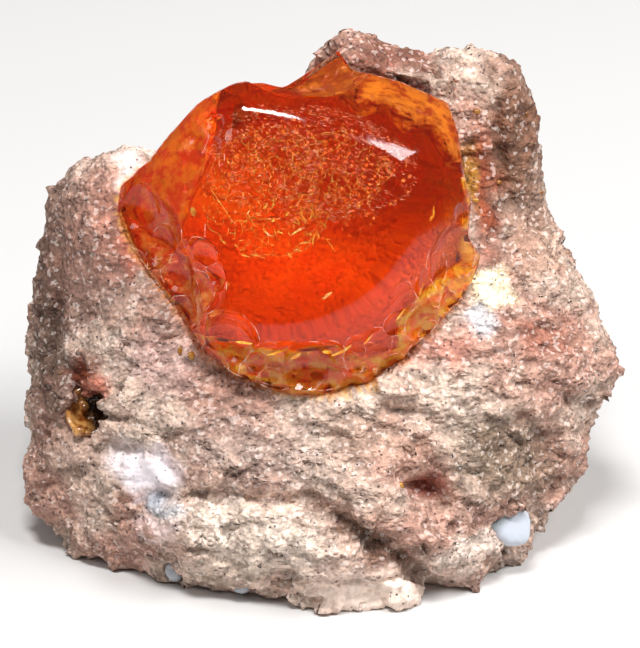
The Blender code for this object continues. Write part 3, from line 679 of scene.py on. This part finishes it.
# ---- Finishes ----
class Nodes:
    """Short names for building a node material around one Principled shader."""

    def __init__(self, name):
        self.material = bpy.data.materials.new(name)
        self.material.use_nodes = True
        self.tree = self.material.node_tree
        self.shader = self.tree.nodes["Principled BSDF"]
        self.output = self.tree.nodes["Material Output"]
        self.place = self.scaled_place()

    def add(self, kind, **values):
        """A node with attributes set."""
        node = self.tree.nodes.new(kind)
        for key, value in values.items():
            setattr(node, key, value)
        return node

    def link(self, source, target):
        """Joins two sockets."""
        self.tree.links.new(source, target)

    def scaled_place(self):
        """Object coordinates in millimetres."""
        scale = self.add("ShaderNodeVectorMath", operation="SCALE")
        self.link(self.add("ShaderNodeTexCoord").outputs["Object"], scale.inputs[0])
        scale.inputs["Scale"].default_value = 1.0 / MM
        return scale.outputs["Vector"]

    def noise(self, size, detail=3.0, rough=0.6, stretch=None, warp=0.0):
        """Noise whose features are about this size in millimetres, drawn out along each axis by stretch."""
        place = self.place
        if stretch:
            drawn = self.add("ShaderNodeVectorMath", operation="DIVIDE")
            self.link(place, drawn.inputs[0])
            drawn.inputs[1].default_value = stretch
            place = drawn.outputs["Vector"]
        node = self.add("ShaderNodeTexNoise")
        node.inputs["Scale"].default_value = 1.0 / size
        node.inputs["Detail"].default_value = detail
        node.inputs["Roughness"].default_value = rough
        node.inputs["Distortion"].default_value = warp
        self.link(place, node.inputs["Vector"])
        return node.outputs["Fac"]

    def cells(self, size, output="Distance"):
        """Voronoi cells about this size in millimetres."""
        node = self.add("ShaderNodeTexVoronoi")
        node.inputs["Scale"].default_value = 1.0 / size
        self.link(self.place, node.inputs["Vector"])
        return node.outputs[output]

    def random_cells(self, size):
        """A random number from 0 to 1 in each cell."""
        parted = self.add("ShaderNodeSeparateColor")
        self.link(self.cells(size, "Color"), parted.inputs["Color"])
        return parted.outputs["Red"]

    def ramp(self, source, low, high, least=0.0, most=1.0):
        """Takes a socket from least at low to most at high."""
        node = self.add("ShaderNodeMapRange", clamp=True)
        for name, value in (("From Min", low), ("From Max", high), ("To Min", least), ("To Max", most)):
            node.inputs[name].default_value = value
        self.link(source, node.inputs["Value"])
        return node.outputs["Result"]

    def mix(self, share, first, second):
        """Mixes two colours, given as sockets or linear values, by a socket."""
        node = self.add("ShaderNodeMix", data_type="RGBA")
        self.link(share, node.inputs[0])
        for socket, value in ((node.inputs[6], first), (node.inputs[7], second)):
            if isinstance(value, tuple):
                socket.default_value = (*value, 1.0)
            else:
                self.link(value, socket)
        return node.outputs[2]

    def mottle(self, source, low, high, first, second):
        """Goes from the first sRGB colour to the second as a socket goes from low to high."""
        return self.mix(self.ramp(source, low, high), srgb(*first), srgb(*second))

    def times(self, first, second, plus=0.0):
        """A socket times a socket or number, plus a number."""
        node = self.add("ShaderNodeMath", operation="MULTIPLY_ADD")
        self.link(first, node.inputs[0])
        if isinstance(second, float):
            node.inputs[1].default_value = second
        else:
            self.link(second, node.inputs[1])
        node.inputs[2].default_value = plus
        return node.outputs["Value"]

    def attribute(self, name, output="Fac"):
        """A number or colour that the mesh carries."""
        return self.add("ShaderNodeAttribute", attribute_name=name).outputs[output]

    def bump(self, height, distance, before=None):
        """A bump of this many millimetres, laid over an earlier one."""
        node = self.add("ShaderNodeBump")
        node.inputs["Strength"].default_value = 1.0
        node.inputs["Distance"].default_value = distance * MM
        self.link(height, node.inputs["Height"])
        if before is not None:
            self.link(before, node.inputs["Normal"])
        return node.outputs["Normal"]

    def drive(self, key, source):
        """Links a socket to one of the shader's own."""
        self.link(source, self.shader.inputs[key])

    def set(self, **values):
        """Plain values on the shader's own sockets."""
        for key, value in values.items():
            self.shader.inputs[key.replace("_", " ")].default_value = value


def clear_opal():
    """Clear opal that takes colour out of the light, with a thin dull veil where it was scuffed."""
    made = Nodes("fire_opal_glass")
    made.set(Base_Color=(1.0, 1.0, 1.0, 1.0), IOR=OPAL_IOR, Transmission_Weight=1.0)
    veil = made.attribute("veil")
    scuffed = made.times(made.ramp(made.noise(0.8, detail=4.0), 0.42, 0.62), veil)
    made.drive("Roughness", made.times(scuffed, VEIL_DULLNESS, LEAST_ROUGHNESS))
    volume = made.add("ShaderNodeVolumeAbsorption")
    volume.inputs["Color"].default_value = (*OPAL_TINT, 1.0)
    volume.inputs["Density"].default_value = OPAL_DENSITY
    made.link(volume.outputs["Volume"], made.output.inputs["Volume"])
    ripple = made.bump(made.noise(1.6, detail=2.0), RIPPLE_BUMP)
    ripple = made.bump(made.times(made.noise(0.5, detail=3.0), veil), VEIL_BUMP, ripple)
    made.drive("Normal", ripple)
    return made.material


def inner_finish(name, first, second, rough):
    """The bright walls of cracks and flakes inside the opal."""
    made = Nodes(name)
    made.drive("Base Color", made.mottle(made.noise(0.7, detail=2.0), 0.4, 0.62, first, second))
    made.set(Roughness=rough)
    return made.material


# ---- The opal ----
def chip_balls(mesh):
    """The balls whose surfaces are the small chips' breaks."""
    look = seen_surface(mesh)
    draw = random.Random(SEED)
    chips = list(CHIPS)
    for middle, half, count, largest in CHIPPED:
        for _ in range(count):
            place = ellipse_place(draw, middle, half)
            lean = (draw.uniform(-CHIP_LEAN, CHIP_LEAN), draw.uniform(-CHIP_LEAN, CHIP_LEAN))
            chips.append((place, draw.uniform(*CHIP_DEPTH), lean, draw.uniform(LEAST_CHIP, largest)))
    balls = []
    for place, depth, lean, radius in chips:
        point, normal = look(place)
        if point is not None:
            facing = unit(normal + np.array((*lean, 0.0)))
            balls.append((point - normal * depth + facing * radius, radius))
    return balls


def make_opal():
    """The broken nodule."""
    shape, directions = ball_mesh(NODULE_FINENESS)
    points = np.array(OPAL_CORE) + directions * opal_reach(directions)[:, None]
    waves = np.array([noise.noise(Vector(point) / WAVE_SPACING) for point in points])
    nodule = shape_object("nodule", shape, points + directions * (waves * WAVE_HEIGHT)[:, None])
    scars = [(np.array(point) + unit(normal) * radius, radius) for point, normal, radius in OPAL_SCARS]
    broken = new_object("broken", cut_balls(nodule, "broken", scars, SCAR_FINENESS))
    mesh = cut_balls(broken, "clear_fire_opal", chip_balls(broken.data), CHIP_FINENESS)
    points, _ = read_points(mesh)
    away = np.linalg.norm(ellipse_offset(points, VEIL_MIDDLE, VEIL_HALF), axis=1)
    store(mesh, "veil", np.clip(1.4 - away, 0.0, 1.0))
    mesh.shade_smooth()
    mesh.set_sharp_from_angle(angle=math.radians(SHARP_DEG))
    opal = new_object("clear_fire_opal", mesh, clear_opal())
    dress(opal, "fire_opal", "fire_opal")
    return opal


def ribbon(points, sides, width):
    """Vertices and faces of a thin closed ribbon that tapers to a point at both ends."""
    verts, faces = [tuple(points[0])], []
    last = len(points) - 1
    for step in range(1, last):
        reach = width * 0.5 * math.sin(math.pi * step / last) ** 0.6
        side = sides[step] * reach
        along = unit(points[step + 1] - points[step - 1])
        up = np.cross(along, unit(side)) * CRACK_THICK
        verts += [tuple(points[step] - side), tuple(points[step] + up), tuple(points[step] + side)]
        start = len(verts) - 3
        if step == 1:
            faces += [(0, start, start + 1), (0, start + 1, start + 2), (0, start + 2, start)]
        else:
            for corner in range(3):
                after = (corner + 1) % 3
                faces.append((start - 3 + corner, start + corner, start + after, start - 3 + after))
    verts.append(tuple(points[last]))
    tip = len(verts) - 1
    faces += [(tip, tip - 2, tip - 3), (tip, tip - 1, tip - 2), (tip, tip - 3, tip - 1)]
    return verts, faces


def crack_arc(draw, start, heading, length, bend, depth, sink, width):
    """A curved crack that runs under the skin from a place, as a ribbon."""
    steps = max(4, int(length / ARC_STEP))
    points, place = [], np.array(start, float)
    for step in range(steps + 1):
        points.append(under_skin(place, depth + sink * step / steps))
        place = place + np.array((math.cos(heading), math.sin(heading))) * length / steps
        heading += bend * length / steps + draw.uniform(-ARC_WANDER, ARC_WANDER)
    tilt = draw.uniform(-ARC_TILT, ARC_TILT)
    sides = []
    for step in range(len(points)):
        along = points[min(step + 1, len(points) - 1)] - points[max(step - 1, 0)]
        flat = unit(np.cross(along, (0.0, 0.0, 1.0)))
        sides.append(unit(flat * math.cos(tilt) + np.cross(unit(along), flat) * math.sin(tilt)))
    return ribbon(points, sides, width)


def net_cracks(draw, middle, half, spacing):
    """The edges of irregular cells that fill an ellipse of the face."""
    spots = []
    count = int(math.pi * half[0] * half[1] / (spacing * spacing))
    while len(spots) < count:
        spot = Vector(ellipse_place(draw, middle, half, CRAZE_SPREAD))
        if all((spot - other).length > spacing * CRAZE_LEAST_GAP for other in spots):
            spots.append(spot)
    corners, _, faces, _, _, _ = geometry.delaunay_2d_cdt(spots, [], [], 0, TINY)
    middles = [sum((corners[index] for index in face), Vector((0.0, 0.0))) / len(face) for face in faces]
    depths = [draw.uniform(*CRAZE_DEPTH) for _ in faces]
    beside, parts = {}, []
    for number, face in enumerate(faces):
        for corner in range(3):
            beside.setdefault(frozenset((face[corner], face[corner - 1])), []).append(number)
    for pair in beside.values():
        if len(pair) < 2 or draw.random() > CRAZE_KEEP:
            continue
        first, second = (middles[number] for number in pair)
        span = second - first
        if span.length > spacing * CRAZE_LONGEST:
            continue
        bow = Vector((-span.y, span.x)) * draw.uniform(-CRAZE_BOW, CRAZE_BOW)
        points = []
        for share in (0.0, 0.25, 0.5, 0.75, 1.0):
            place = first + span * share + bow * (4.0 * share * (1.0 - share))
            points.append(under_skin(tuple(place), depths[pair[0]] * (1.0 - share) + depths[pair[1]] * share))
        flat = unit(np.cross(points[-1] - points[0], (0.0, 0.0, 1.0)))
        parts.append(ribbon(points, [flat] * len(points), draw.uniform(*CRAZE_WIDTH)))
    return parts


def make_cracks():
    """The golden crazing in the dome, and the painted glints of single bright cracks near its edges."""
    draw = random.Random(SEED)
    parts = []
    for middle, half, spacing in CRAZE_NETS:
        parts += net_cracks(draw, middle, half, spacing)
    for _ in range(ARC_COUNT):
        start = ellipse_place(draw, ARC_MIDDLE, ARC_HALF)
        heading = draw.choice(ARC_HEADINGS) + draw.uniform(-ARC_TURN, ARC_TURN)
        parts.append(crack_arc(draw, start, heading, draw.uniform(*ARC_LENGTH), draw.uniform(*ARC_BEND),
                               draw.uniform(*ARC_DEPTH), draw.uniform(*ARC_SINK), draw.uniform(*ARC_WIDTH)))
    # The single bright cracks are partly painted glints.
    for start, heading_deg, length, width, depth in VEINS:
        heading = math.radians(heading_deg)
        parts.append(crack_arc(draw, start, heading, length, VEIN_BEND, depth, VEIN_SINK, width))
    dress(joined("cracks_and_painted_glints", parts, inner_finish("crack_and_painted_glint", *CRACK_AND_GLINT_COLOURS, 0.25)), "fire_opal")


def make_scuffs():
    """Fine pale scratches just under the skin of the dome's upper part."""
    draw = random.Random(SEED)
    parts = []
    for _ in range(SCUFF_COUNT):
        start = ellipse_place(draw, VEIL_MIDDLE, VEIL_HALF)
        if noise.noise(Vector((*start, 0.0)) / 2.2) < draw.uniform(-0.5, 0.2):
            continue
        heading = draw.gauss(*SCUFF_HEADING)
        parts.append(crack_arc(draw, start, heading, draw.uniform(*SCUFF_LENGTH), SCUFF_BEND,
                               draw.uniform(*SCUFF_DEPTH), 0.0, draw.uniform(*SCUFF_WIDTH)))
    dress(joined("pale_scuffs", parts, inner_finish("pale_scuff", *SCUFF_COLOURS, 0.4)), "fire_opal")


def make_flakes():
    """Small orange flakes that cloud the dome's upper part."""
    draw = random.Random(SEED)
    parts = []
    for _ in range(FLAKE_COUNT):
        offset = np.array(ellipse_place(draw, (0.0, 0.0), VEIL_HALF)) * draw.uniform(*FLAKE_SPREAD)
        place = tuple(offset + np.array(FLAKE_MIDDLE))
        if noise.noise(Vector((*place, 3.0)) / 2.6) < draw.uniform(-0.4, 0.2):
            continue
        middle = under_skin(place, draw.uniform(*FLAKE_DEPTH))
        facing = unit((draw.gauss(0.0, 0.6), draw.gauss(0.3, 0.6), 1.0))
        side = unit(np.cross(facing, (0.0, 1.0, 0.2)))
        size = draw.uniform(*FLAKE_SIZE)
        rim = []
        for corner in range(6):
            angle = math.pi * corner / 3.0
            reach = size * draw.uniform(0.5, 1.1)
            rim.append(middle + (side * math.cos(angle) + np.cross(facing, side) * math.sin(angle)) * reach)
        verts = [tuple(spot) for spot in rim + [middle + facing * CRACK_THICK, middle - facing * CRACK_THICK]]
        faces = [(corner, (corner + 1) % 6, 6) for corner in range(6)]
        faces += [((corner + 1) % 6, corner, 7) for corner in range(6)]
        parts.append((verts, faces))
    dress(joined("orange_flakes", parts, inner_finish("orange_flake", *FLAKE_COLOURS, 0.5)), "fire_opal")


def border_distance(spot, corners):
    """How far a spot lies from the border of a closed outline."""
    nearest = math.inf
    for start, end in zip(corners, corners[1:] + corners[:1]):
        _, share = geometry.intersect_point_line(spot, start, end)
        place = start + (end - start) * min(max(share, 0.0), 1.0)
        nearest = min(nearest, (spot - place).length)
    return nearest


def broken_cells(place, lean):
    """The height of a flat tilted facet for each cell around a place."""
    chunk = noise.voronoi(place)[1][0]
    return noise.noise(chunk * 5.7) + (noise_lean(chunk * 3.1) * lean).dot(place - chunk)


def inner_sheet(look, name, outline, depth, sink, reach, size, height, tilt):
    """A cloudy, faceted break under the opal's finished skin, deeper towards its border."""
    draw = random.Random(SEED)
    corners = [Vector(corner) for corner in outline]
    low = [min(corner[axis] for corner in corners) for axis in range(2)]
    high = [max(corner[axis] for corner in corners) for axis in range(2)]
    spots = list(corners)
    for _ in range(int((high[0] - low[0]) * (high[1] - low[1]) / SHEET_SPACING**2)):
        spots.append(Vector((draw.uniform(low[0], high[0]), draw.uniform(low[1], high[1]))))
    border = [(number, (number + 1) % len(corners)) for number in range(len(corners))]
    flat, _, faces, _, _, _ = geometry.delaunay_2d_cdt(spots, border, [], 1, TINY)
    points, found = [], []
    for spot in flat:
        point, _ = look(tuple(spot))
        found.append(point is not None)
        if point is None:
            points.append((0.0, 0.0, 0.0))
            continue
        fade = 1.0 - min(border_distance(spot, corners) / reach, 1.0)
        place = Vector((*spot, depth)) / size
        centre = noise.voronoi(place)[1][0]
        rough = broken_cells(place, 1.0) * height + (place.y - centre.y) * size * tilt
        under = depth + sink * fade * fade + max(rough, SHEET_LEAST_DEPTH - depth)
        points.append(tuple(point - np.array((0.0, 0.0, under))))
    faces = [tuple(face) for face in faces if all(found[index] for index in face)]
    sheet = new_object(name, mesh_from(name, points, faces))
    solid = sheet.modifiers.new("thick", "SOLIDIFY")
    solid.thickness = SHEET_THICK * MM
    return baked(sheet, name)


def make_sheets(look):
    """The cloudy breaks inside the opal, whose bright colours are partly painted glow."""
    for number, (outline, form, first, second) in enumerate(SHEETS):
        name = f"cloudy_break_{number}"
        # The bright colours are partly painted glow of light through the opal.
        made = Nodes(name + "_finish")
        clouds = made.noise(1.3, stretch=(1.8, 1.0, 1.0))
        made.drive("Base Color", made.mottle(clouds, 0.42, 0.58, second, first))
        made.set(Roughness=0.35)
        dress(new_object(name, inner_sheet(look, name, outline, *form), made.material), "fire_opal")


def make_edge_glints(opal):
    """Painted glints: pale lines along the opal's broken edges, standing in for where they catch the light.
    """
    shape = bmesh.new()
    shape.from_mesh(opal.data)
    least = math.radians(EDGE_ANGLE_DEG)
    parts = []
    for edge in shape.edges:
        if not edge.is_manifold or edge.calc_face_angle() <= least:
            continue
        ends = to_face([tuple(vertex.co) for vertex in edge.verts])
        middle = (ends[0] + ends[1]) / 2.0
        share = 0.0
        for place, half, much in EDGE_PLACES:
            offset = (middle[:2] - np.array(place)) / np.array(half)
            share = max(share, much if (offset**2).sum() < 1.0 else 0.0)
        bright = noise.noise(Vector(middle) / EDGE_RUN) + share - 0.5
        length = np.linalg.norm(ends[1] - ends[0])
        if bright < 0.0 or share == 0.0 or middle[2] < EDGE_LEAST_OUT or length < EDGE_SHORTEST:
            continue
        along = (ends[1] - ends[0]) / length
        side = unit(np.cross(along, (0.3, 0.2, 1.0)))
        up = np.cross(along, side)
        wide = EDGE_WIDTH * min(1.0, 0.35 + 1.6 * bright)
        ring = [side * wide, (up * 0.87 - side * 0.5) * wide, (-up * 0.87 - side * 0.5) * wide]
        verts = [tuple(end + corner) for end in ends for corner in ring]
        parts.append((verts, [(0, 1, 2), (5, 4, 3), (0, 3, 4, 1), (1, 4, 5, 2), (2, 5, 3, 0)]))
    shape.free()
    # The pale lines are painted glints.
    dress(joined("painted_edge_glints", parts, inner_finish("painted_edge_glint", *PAINTED_GLINT_COLOURS, 0.15)), "fire_opal")


# ---- The rock ----
def patch_share(points, middle, half, turn_deg):
    """How much of a patch covers each point, with a ragged edge."""
    turn = math.radians(turn_deg)
    offset = points[:, :2] - np.array(middle)
    along = (offset[:, 0] * math.cos(turn) + offset[:, 1] * math.sin(turn)) / half[0]
    aside = (offset[:, 1] * math.cos(turn) - offset[:, 0] * math.sin(turn)) / half[1]
    return np.clip(1.6 - 1.3 * np.sqrt(along**2 + aside**2), 0.0, 1.0)


def inside_share(opal, points):
    """1 where a point lies well inside the opal, 0 where it is outside."""
    tree = surface_tree(opal.data)
    share = np.zeros(len(points))
    for index in np.flatnonzero(socket_gap(points) < 0.3):
        hit, normal, _, _ = tree.find_nearest(Vector(points[index]))
        share[index] = np.clip((hit - Vector(points[index])).dot(normal) / 0.2, 0.0, 1.0)
    return share


def rock_colour(points):
    """The broad colour of the stone at each point, with its painted shade, and how strongly its grains stand
    out.
    """
    wander = np.array([tuple(noise_lean(Vector(point) / 2.6)) for point in points])
    broad = np.array([noise.fractal(Vector(point) / 9.0, 0.7, 2.0, 3) for point in points])
    pink = np.clip(0.35 + 0.8 * broad, 0.0, 0.7)[:, None]
    pale = np.clip(0.15 - 0.9 * broad, 0.0, 1.0)[:, None]
    colour = np.array(srgb(*STONE)) * (1.0 - pink) + np.array(srgb(*STONE_PINK)) * pink
    colour = colour * (1.0 - pale) + np.array(srgb(*STONE_PALE)) * pale
    speckle = np.ones(len(points))
    moved = points + wander * PATCH_WANDER
    front = np.clip((points[:, 2] + FRONT_DEPTH) / 4.0, 0.0, 1.0)
    for middle, half, turn_deg, tint, strength in ROCK_PATCHES:
        share = (patch_share(moved, middle, half, turn_deg) * strength * front)[:, None]
        colour = colour * (1.0 - share) + np.array(srgb(*tint)) * share
        if min(tint) > PALE_PATCH:
            speckle *= 1.0 - 0.75 * share[:, 0]
    return colour, speckle


def smooth_share(points):
    """How much of the grain's height is left at each point; the old plateau and the trench are smoother."""
    share = np.ones(len(points))
    for middle, half, left in SMOOTH_PLACES:
        share -= (1.0 - left) * np.exp(-(ellipse_offset(points, middle, half) ** 2).sum(axis=1) ** 2)
    return np.clip(share, 0.2, 1.0)


def grain_height(points):
    """Hackly flakes and grain of the broken stone."""
    lift = np.zeros(len(points))
    for number, point in enumerate(points):
        for size, lean, height in GRAIN:
            lift[number] += height * broken_cells(Vector(point / size), lean)
    return lift * smooth_share(points)


def groove_depth(points):
    """How deep the named grooves and ledges cut into each point of the front."""
    depth = np.zeros(len(points))
    wobble = np.array([noise.noise(Vector(point) / 1.8) for point in points])
    for start, end, half, deepest in GROOVES:
        start, along = np.array(start), np.array(end) - np.array(start)
        offset = points[:, :2] - start
        share = np.clip(offset @ along / (along @ along), 0.0, 1.0)
        away = np.linalg.norm(offset - share[:, None] * along, axis=1) + wobble * 0.6 * half
        depth = np.maximum(depth, deepest * np.exp(-((away / half) ** 2)))
    for sign, places in ((-1.0, LUMPS), (1.0, PITS)):
        for middle, half, height in places:
            away = (ellipse_offset(points, middle, half) ** 2).sum(axis=1)
            depth += sign * height * np.exp(-(away * (1.0 + 0.5 * wobble)))
    return depth * np.clip((points[:, 2] + FRONT_DEPTH) / 3.0, 0.0, 1.0)


def stone_finish():
    """Fine-grained rhyolite: pale and dark grains over the broad colour."""
    made = Nodes("rhyolite_stone")
    speckle = made.attribute("speckle")

    def varied(source, low, high, contrast):
        """A brightness around one, that varies less where the grains stand out less."""
        return made.times(made.ramp(source, low, high, -contrast, contrast), speckle, 1.0)

    clump = made.noise(1.6, detail=2.0, rough=0.5, stretch=(1.3, 1.0, 0.8))
    grain = made.random_cells(0.42)
    strength = made.times(varied(clump, 0.36, 0.64, CLUMP_CONTRAST), varied(grain, 0.0, 1.0, GRAIN_CONTRAST))
    strength = made.times(strength, varied(made.random_cells(0.2), 0.0, 1.0, FINE_CONTRAST))
    scaled = made.add("ShaderNodeVectorMath", operation="SCALE")
    made.link(made.attribute("broad", "Color"), scaled.inputs[0])
    made.link(strength, scaled.inputs["Scale"])
    palest = made.times(made.ramp(grain, 0.84, 0.90), 0.25)
    colour = made.mix(palest, scaled.outputs["Vector"], srgb(*PALE_GRAIN))
    flecks = made.ramp(made.cells(0.75), 0.24, 0.12)
    rare = made.ramp(made.noise(2.4, detail=1.0), 0.50, 0.58)
    colour = made.mix(made.times(made.times(flecks, rare), 0.9), colour, srgb(*DARK_FLECK))
    behind = made.mottle(made.noise(5.0, warp=0.5), 0.40, 0.60, SOCKET_WALL, SOCKET_CLOUD)
    # The socket's wall is darker low down: painted shade.
    behind = made.mix(made.attribute("low"), behind, srgb(*SOCKET_PAINTED_SHADE))
    made.drive("Base Color", made.mix(made.attribute("wall"), colour, behind))
    made.set(Roughness=0.8, Specular_IOR_Level=0.35)
    coarse = made.bump(made.times(clump, speckle), COARSE_BUMP)
    made.drive("Normal", made.bump(made.times(made.cells(0.55), speckle), FINE_BUMP, coarse))
    return made.material


def make_rock(opal):
    """The rhyolite, with its grain, its colours and the socket's wall pressed against the opal."""
    mesh = evened(node_helper("rhyolite_matrix"), "rhyolite_stone", ROCK_VOXEL, ROCK_SOFTEN)
    points, normals = read_points(mesh)
    floor = to_world(points)[:, 2] / MM
    gap = socket_gap(points)
    inward = np.array(OPAL_CORE) - points
    inward /= np.linalg.norm(inward, axis=1)[:, None]
    # The socket's wall faces the nodule and lies close outside it; the rest of the skin keeps its own grain.
    facing = np.clip(((normals * inward).sum(axis=1) + 0.15) / 0.3, 0.0, 1.0)
    wall = np.clip(2.5 * facing * np.clip((WALL_REACH - gap) / 0.5, 0.0, 1.0), 0.0, 1.0)
    free = np.clip((floor - 0.02) / BASE_KEEP, 0.0, 1.0) * (1.0 - wall)
    lift = grain_height(points) - groove_depth(points)
    lift += SIDE_SWELL * np.clip(1.2 - np.abs(normals[:, 2]), 0.0, 1.0)
    points = points + normals * (lift * free)[:, None]
    points = points + inward * (wall * (gap + CONTACT_DEPTH))[:, None]
    world = to_world(points)
    world[:, 2] = np.where(floor < BASE_FLAT, 0.0, np.maximum(world[:, 2], 0.0))
    points = to_face(world)
    write_points(mesh, points)
    colours = np.ones((len(points), 4))
    colours[:, :3], speckle = rock_colour(points)
    mesh.color_attributes.new("broad", "FLOAT_COLOR", "POINT").data.foreach_set("color", colours.ravel())
    store(mesh, "wall", wall * inside_share(opal, points))
    store(mesh, "speckle", speckle)
    # How much painted shade darkens the socket's wall low down.
    below = np.clip((SOCKET_SHADE_TOP - points[:, 1]) / 12.0, 0.0, 1.0)
    store(mesh, "low", below * np.clip((points[:, 1] + 8.0) / 3.0, 0.0, 1.0))
    mesh.shade_smooth()
    rock = new_object("rhyolite_stone", mesh, stone_finish())
    dress(rock, "rhyolite", "rhyolite_matrix")
    return rock


# ---- The small opals ----
def knobs(points, size, height):
    """How far rounded knobs of about this size lift each point."""
    nearest = np.array([noise.voronoi(Vector(point) / size)[0][0] for point in points])
    return np.sqrt(1.0 - np.minimum(nearest, 1.0) ** 2) * height


def make_crust():
    """The knobbly amber lining of the vug, with painted shade over its right and upper part."""
    helper = node_helper("amber_opal_crust")
    look = seen_surface(helper.data)
    shape = bmesh.new()
    shape.from_mesh(helper.data)
    for place, radius, sink in CRUST_LOBES:
        point, _ = look(place)
        if point is None:
            continue
        lobe, directions = ball_mesh(3)
        ball = shape_object("lobe", lobe, point - np.array((0.0, 0.0, sink)) + directions * radius)
        shape.from_mesh(ball.data)
        discard(ball)
    shape.to_mesh(helper.data)
    shape.free()
    mesh = evened(helper, "amber_crust", CRUST_VOXEL, 2)
    points, normals = read_points(mesh)
    points += normals * (knobs(points, KNOB_SIZE, KNOB_HEIGHT) - KNOB_HEIGHT / 2.0)[:, None]
    middle = points.mean(axis=0)
    points = middle + (points - middle) * np.array(CRUST_SHRINK) - np.array((0.0, 0.0, CRUST_SINK))
    write_points(mesh, points)
    # The shade number is painted shade, darker towards the right and the top.
    across, up = points[:, 0] - middle[0], points[:, 1] - middle[1]
    store(mesh, "shade", np.clip((across + 0.3 * up + 0.8) / 1.2, 0.0, 1.0))
    mesh.shade_smooth()
    made = Nodes("amber_crust_opal")
    amber = made.mottle(made.noise(1.1), 0.38, 0.62, *CRUST_COLOURS)
    made.drive("Base Color", made.mix(made.attribute("shade"), amber, srgb(*CRUST_PAINTED_SHADE)))
    made.set(Roughness=0.15, IOR=OPAL_IOR, Coat_Weight=0.6)
    dress(new_object("amber_crust", mesh, made.material), "amber_opal", "amber_opal_crust")


def make_specks(rock):
    """Small specks of amber opal around the nodule and in the stone."""
    look = seen_surface(rock.data)
    draw = random.Random(SEED)
    parts = []
    for place, radius in SPECKS:
        point, _ = look(place)
        shape, directions = ball_mesh(2)
        lumps = np.array([noise.noise(Vector(way) * 1.5 + Vector(point)) for way in directions])
        half = np.array([radius * draw.uniform(0.7, 1.3), radius * draw.uniform(0.7, 1.3), radius * 0.6])
        spots = point - (0.0, 0.0, 0.25 * radius) + directions * half * (1.0 + 0.4 * lumps[:, None])
        faces = [tuple(corner.index for corner in face.verts) for face in shape.faces]
        parts.append(([tuple(spot) for spot in spots], faces))
        shape.free()
    made = Nodes("amber_speck_opal")
    made.drive("Base Color", made.mottle(made.noise(1.1), 0.38, 0.62, *SPECK_COLOURS))
    made.set(Roughness=0.2, IOR=OPAL_IOR)
    specks = joined("amber_specks", parts, made.material)
    specks.data.shade_smooth()
    dress(specks, "amber_opal")


def make_milky(node, name, voxel, grow, whiteness):
    """A small milky opal."""
    mesh = evened(node_helper(node), name, voxel, 2)
    points, normals = read_points(mesh)
    write_points(mesh, points + normals * grow)
    across, up = (points[:, :2] - points.mean(axis=0)[:2]).T
    store(mesh, "milky", np.maximum(np.clip(0.25 + (across - 0.8 * up) / 2.0, 0.0, 1.0), whiteness))
    mesh.shade_smooth()
    made = Nodes(name + "_finish")
    glassy = made.mottle(made.noise(1.2, detail=2.0), 0.35, 0.65, *GLASSY_COLOURS)
    made.drive("Base Color", made.mix(made.attribute("milky"), glassy, srgb(*MILKY_WHITE)))
    made.set(Roughness=0.14, IOR=OPAL_IOR)
    dress(new_object(name, mesh, made.material), "milky_opal", node)


# ---- Stage ----
def make_floor():
    """A plain pale floor."""
    mesh = bpy.data.meshes.new("floor")
    half = FLOOR_HALF
    corners = [(-half, -half, 0.0), (half, -half, 0.0), (half, half, 0.0), (-half, half, 0.0)]
    mesh.from_pydata(corners, [], [(0, 1, 2, 3)])
    made = Nodes("floor_paint")
    made.set(Base_Color=(*srgb(*FLOOR_GREY), 1.0), Roughness=0.6)
    floor = new_object("floor", mesh, made.material)
    floor.location.z = -FLOOR_DROP


def add_light(name, azimuth_deg, elevation_deg, distance, size, watts):
    """A soft rectangular light aimed at the stone; azimuth 0 is in front and grows to the right."""
    data = bpy.data.lights.new(name, "AREA")
    data.shape = "RECTANGLE"
    data.size, data.size_y = size
    data.energy = watts
    light = bpy.data.objects.new(name, data)
    bpy.context.scene.collection.objects.link(light)
    turn, rise = math.radians(azimuth_deg), math.radians(elevation_deg)
    way = Vector((math.sin(turn) * math.cos(rise), -math.cos(turn) * math.cos(rise), math.sin(rise)))
    light.location = Vector(LIGHT_TARGET) + way * distance
    light.rotation_euler = way.to_track_quat("Z", "Y").to_euler()


def light_scene():
    """Plain soft studio light."""
    for light in LIGHTS:
        add_light(*light)
    world = bpy.data.worlds.new("dim_room")
    world.use_nodes = True
    background = world.node_tree.nodes["Background"]
    background.inputs["Color"].default_value = (*srgb(*ROOM_GREY), 1.0)
    background.inputs["Strength"].default_value = ROOM_STRENGTH
    bpy.context.scene.world = world


def add_camera():
    """The camera looks straight at the broad face."""
    data = bpy.data.cameras.new("camera")
    data.lens = CAMERA_LENS_MM
    data.clip_start = 0.01
    camera = bpy.data.objects.new("camera", data)
    bpy.context.scene.collection.objects.link(camera)
    camera.location = FACE @ Vector((0.0, 0.0, CAMERA_DISTANCE)) * MM
    camera.rotation_euler = FACE_TURN.to_euler()
    bpy.context.scene.camera = camera


add_camera()
light_scene()
make_floor()
bpy.context.scene.view_settings.view_transform = "Standard"
opal = make_opal()
rock = make_rock(opal)
make_cracks()
make_scuffs()
make_flakes()
make_sheets(seen_surface(opal.data))
make_edge_glints(opal)
make_crust()
make_milky("milky_opal_chip", "milky_chip", *CHIP_FORM)
make_specks(rock)
make_milky("white_opal_bead_left", "white_bead_left", *BEAD_FORM)
make_milky("white_opal_bead_right", "white_bead_right", *BEAD_FORM)
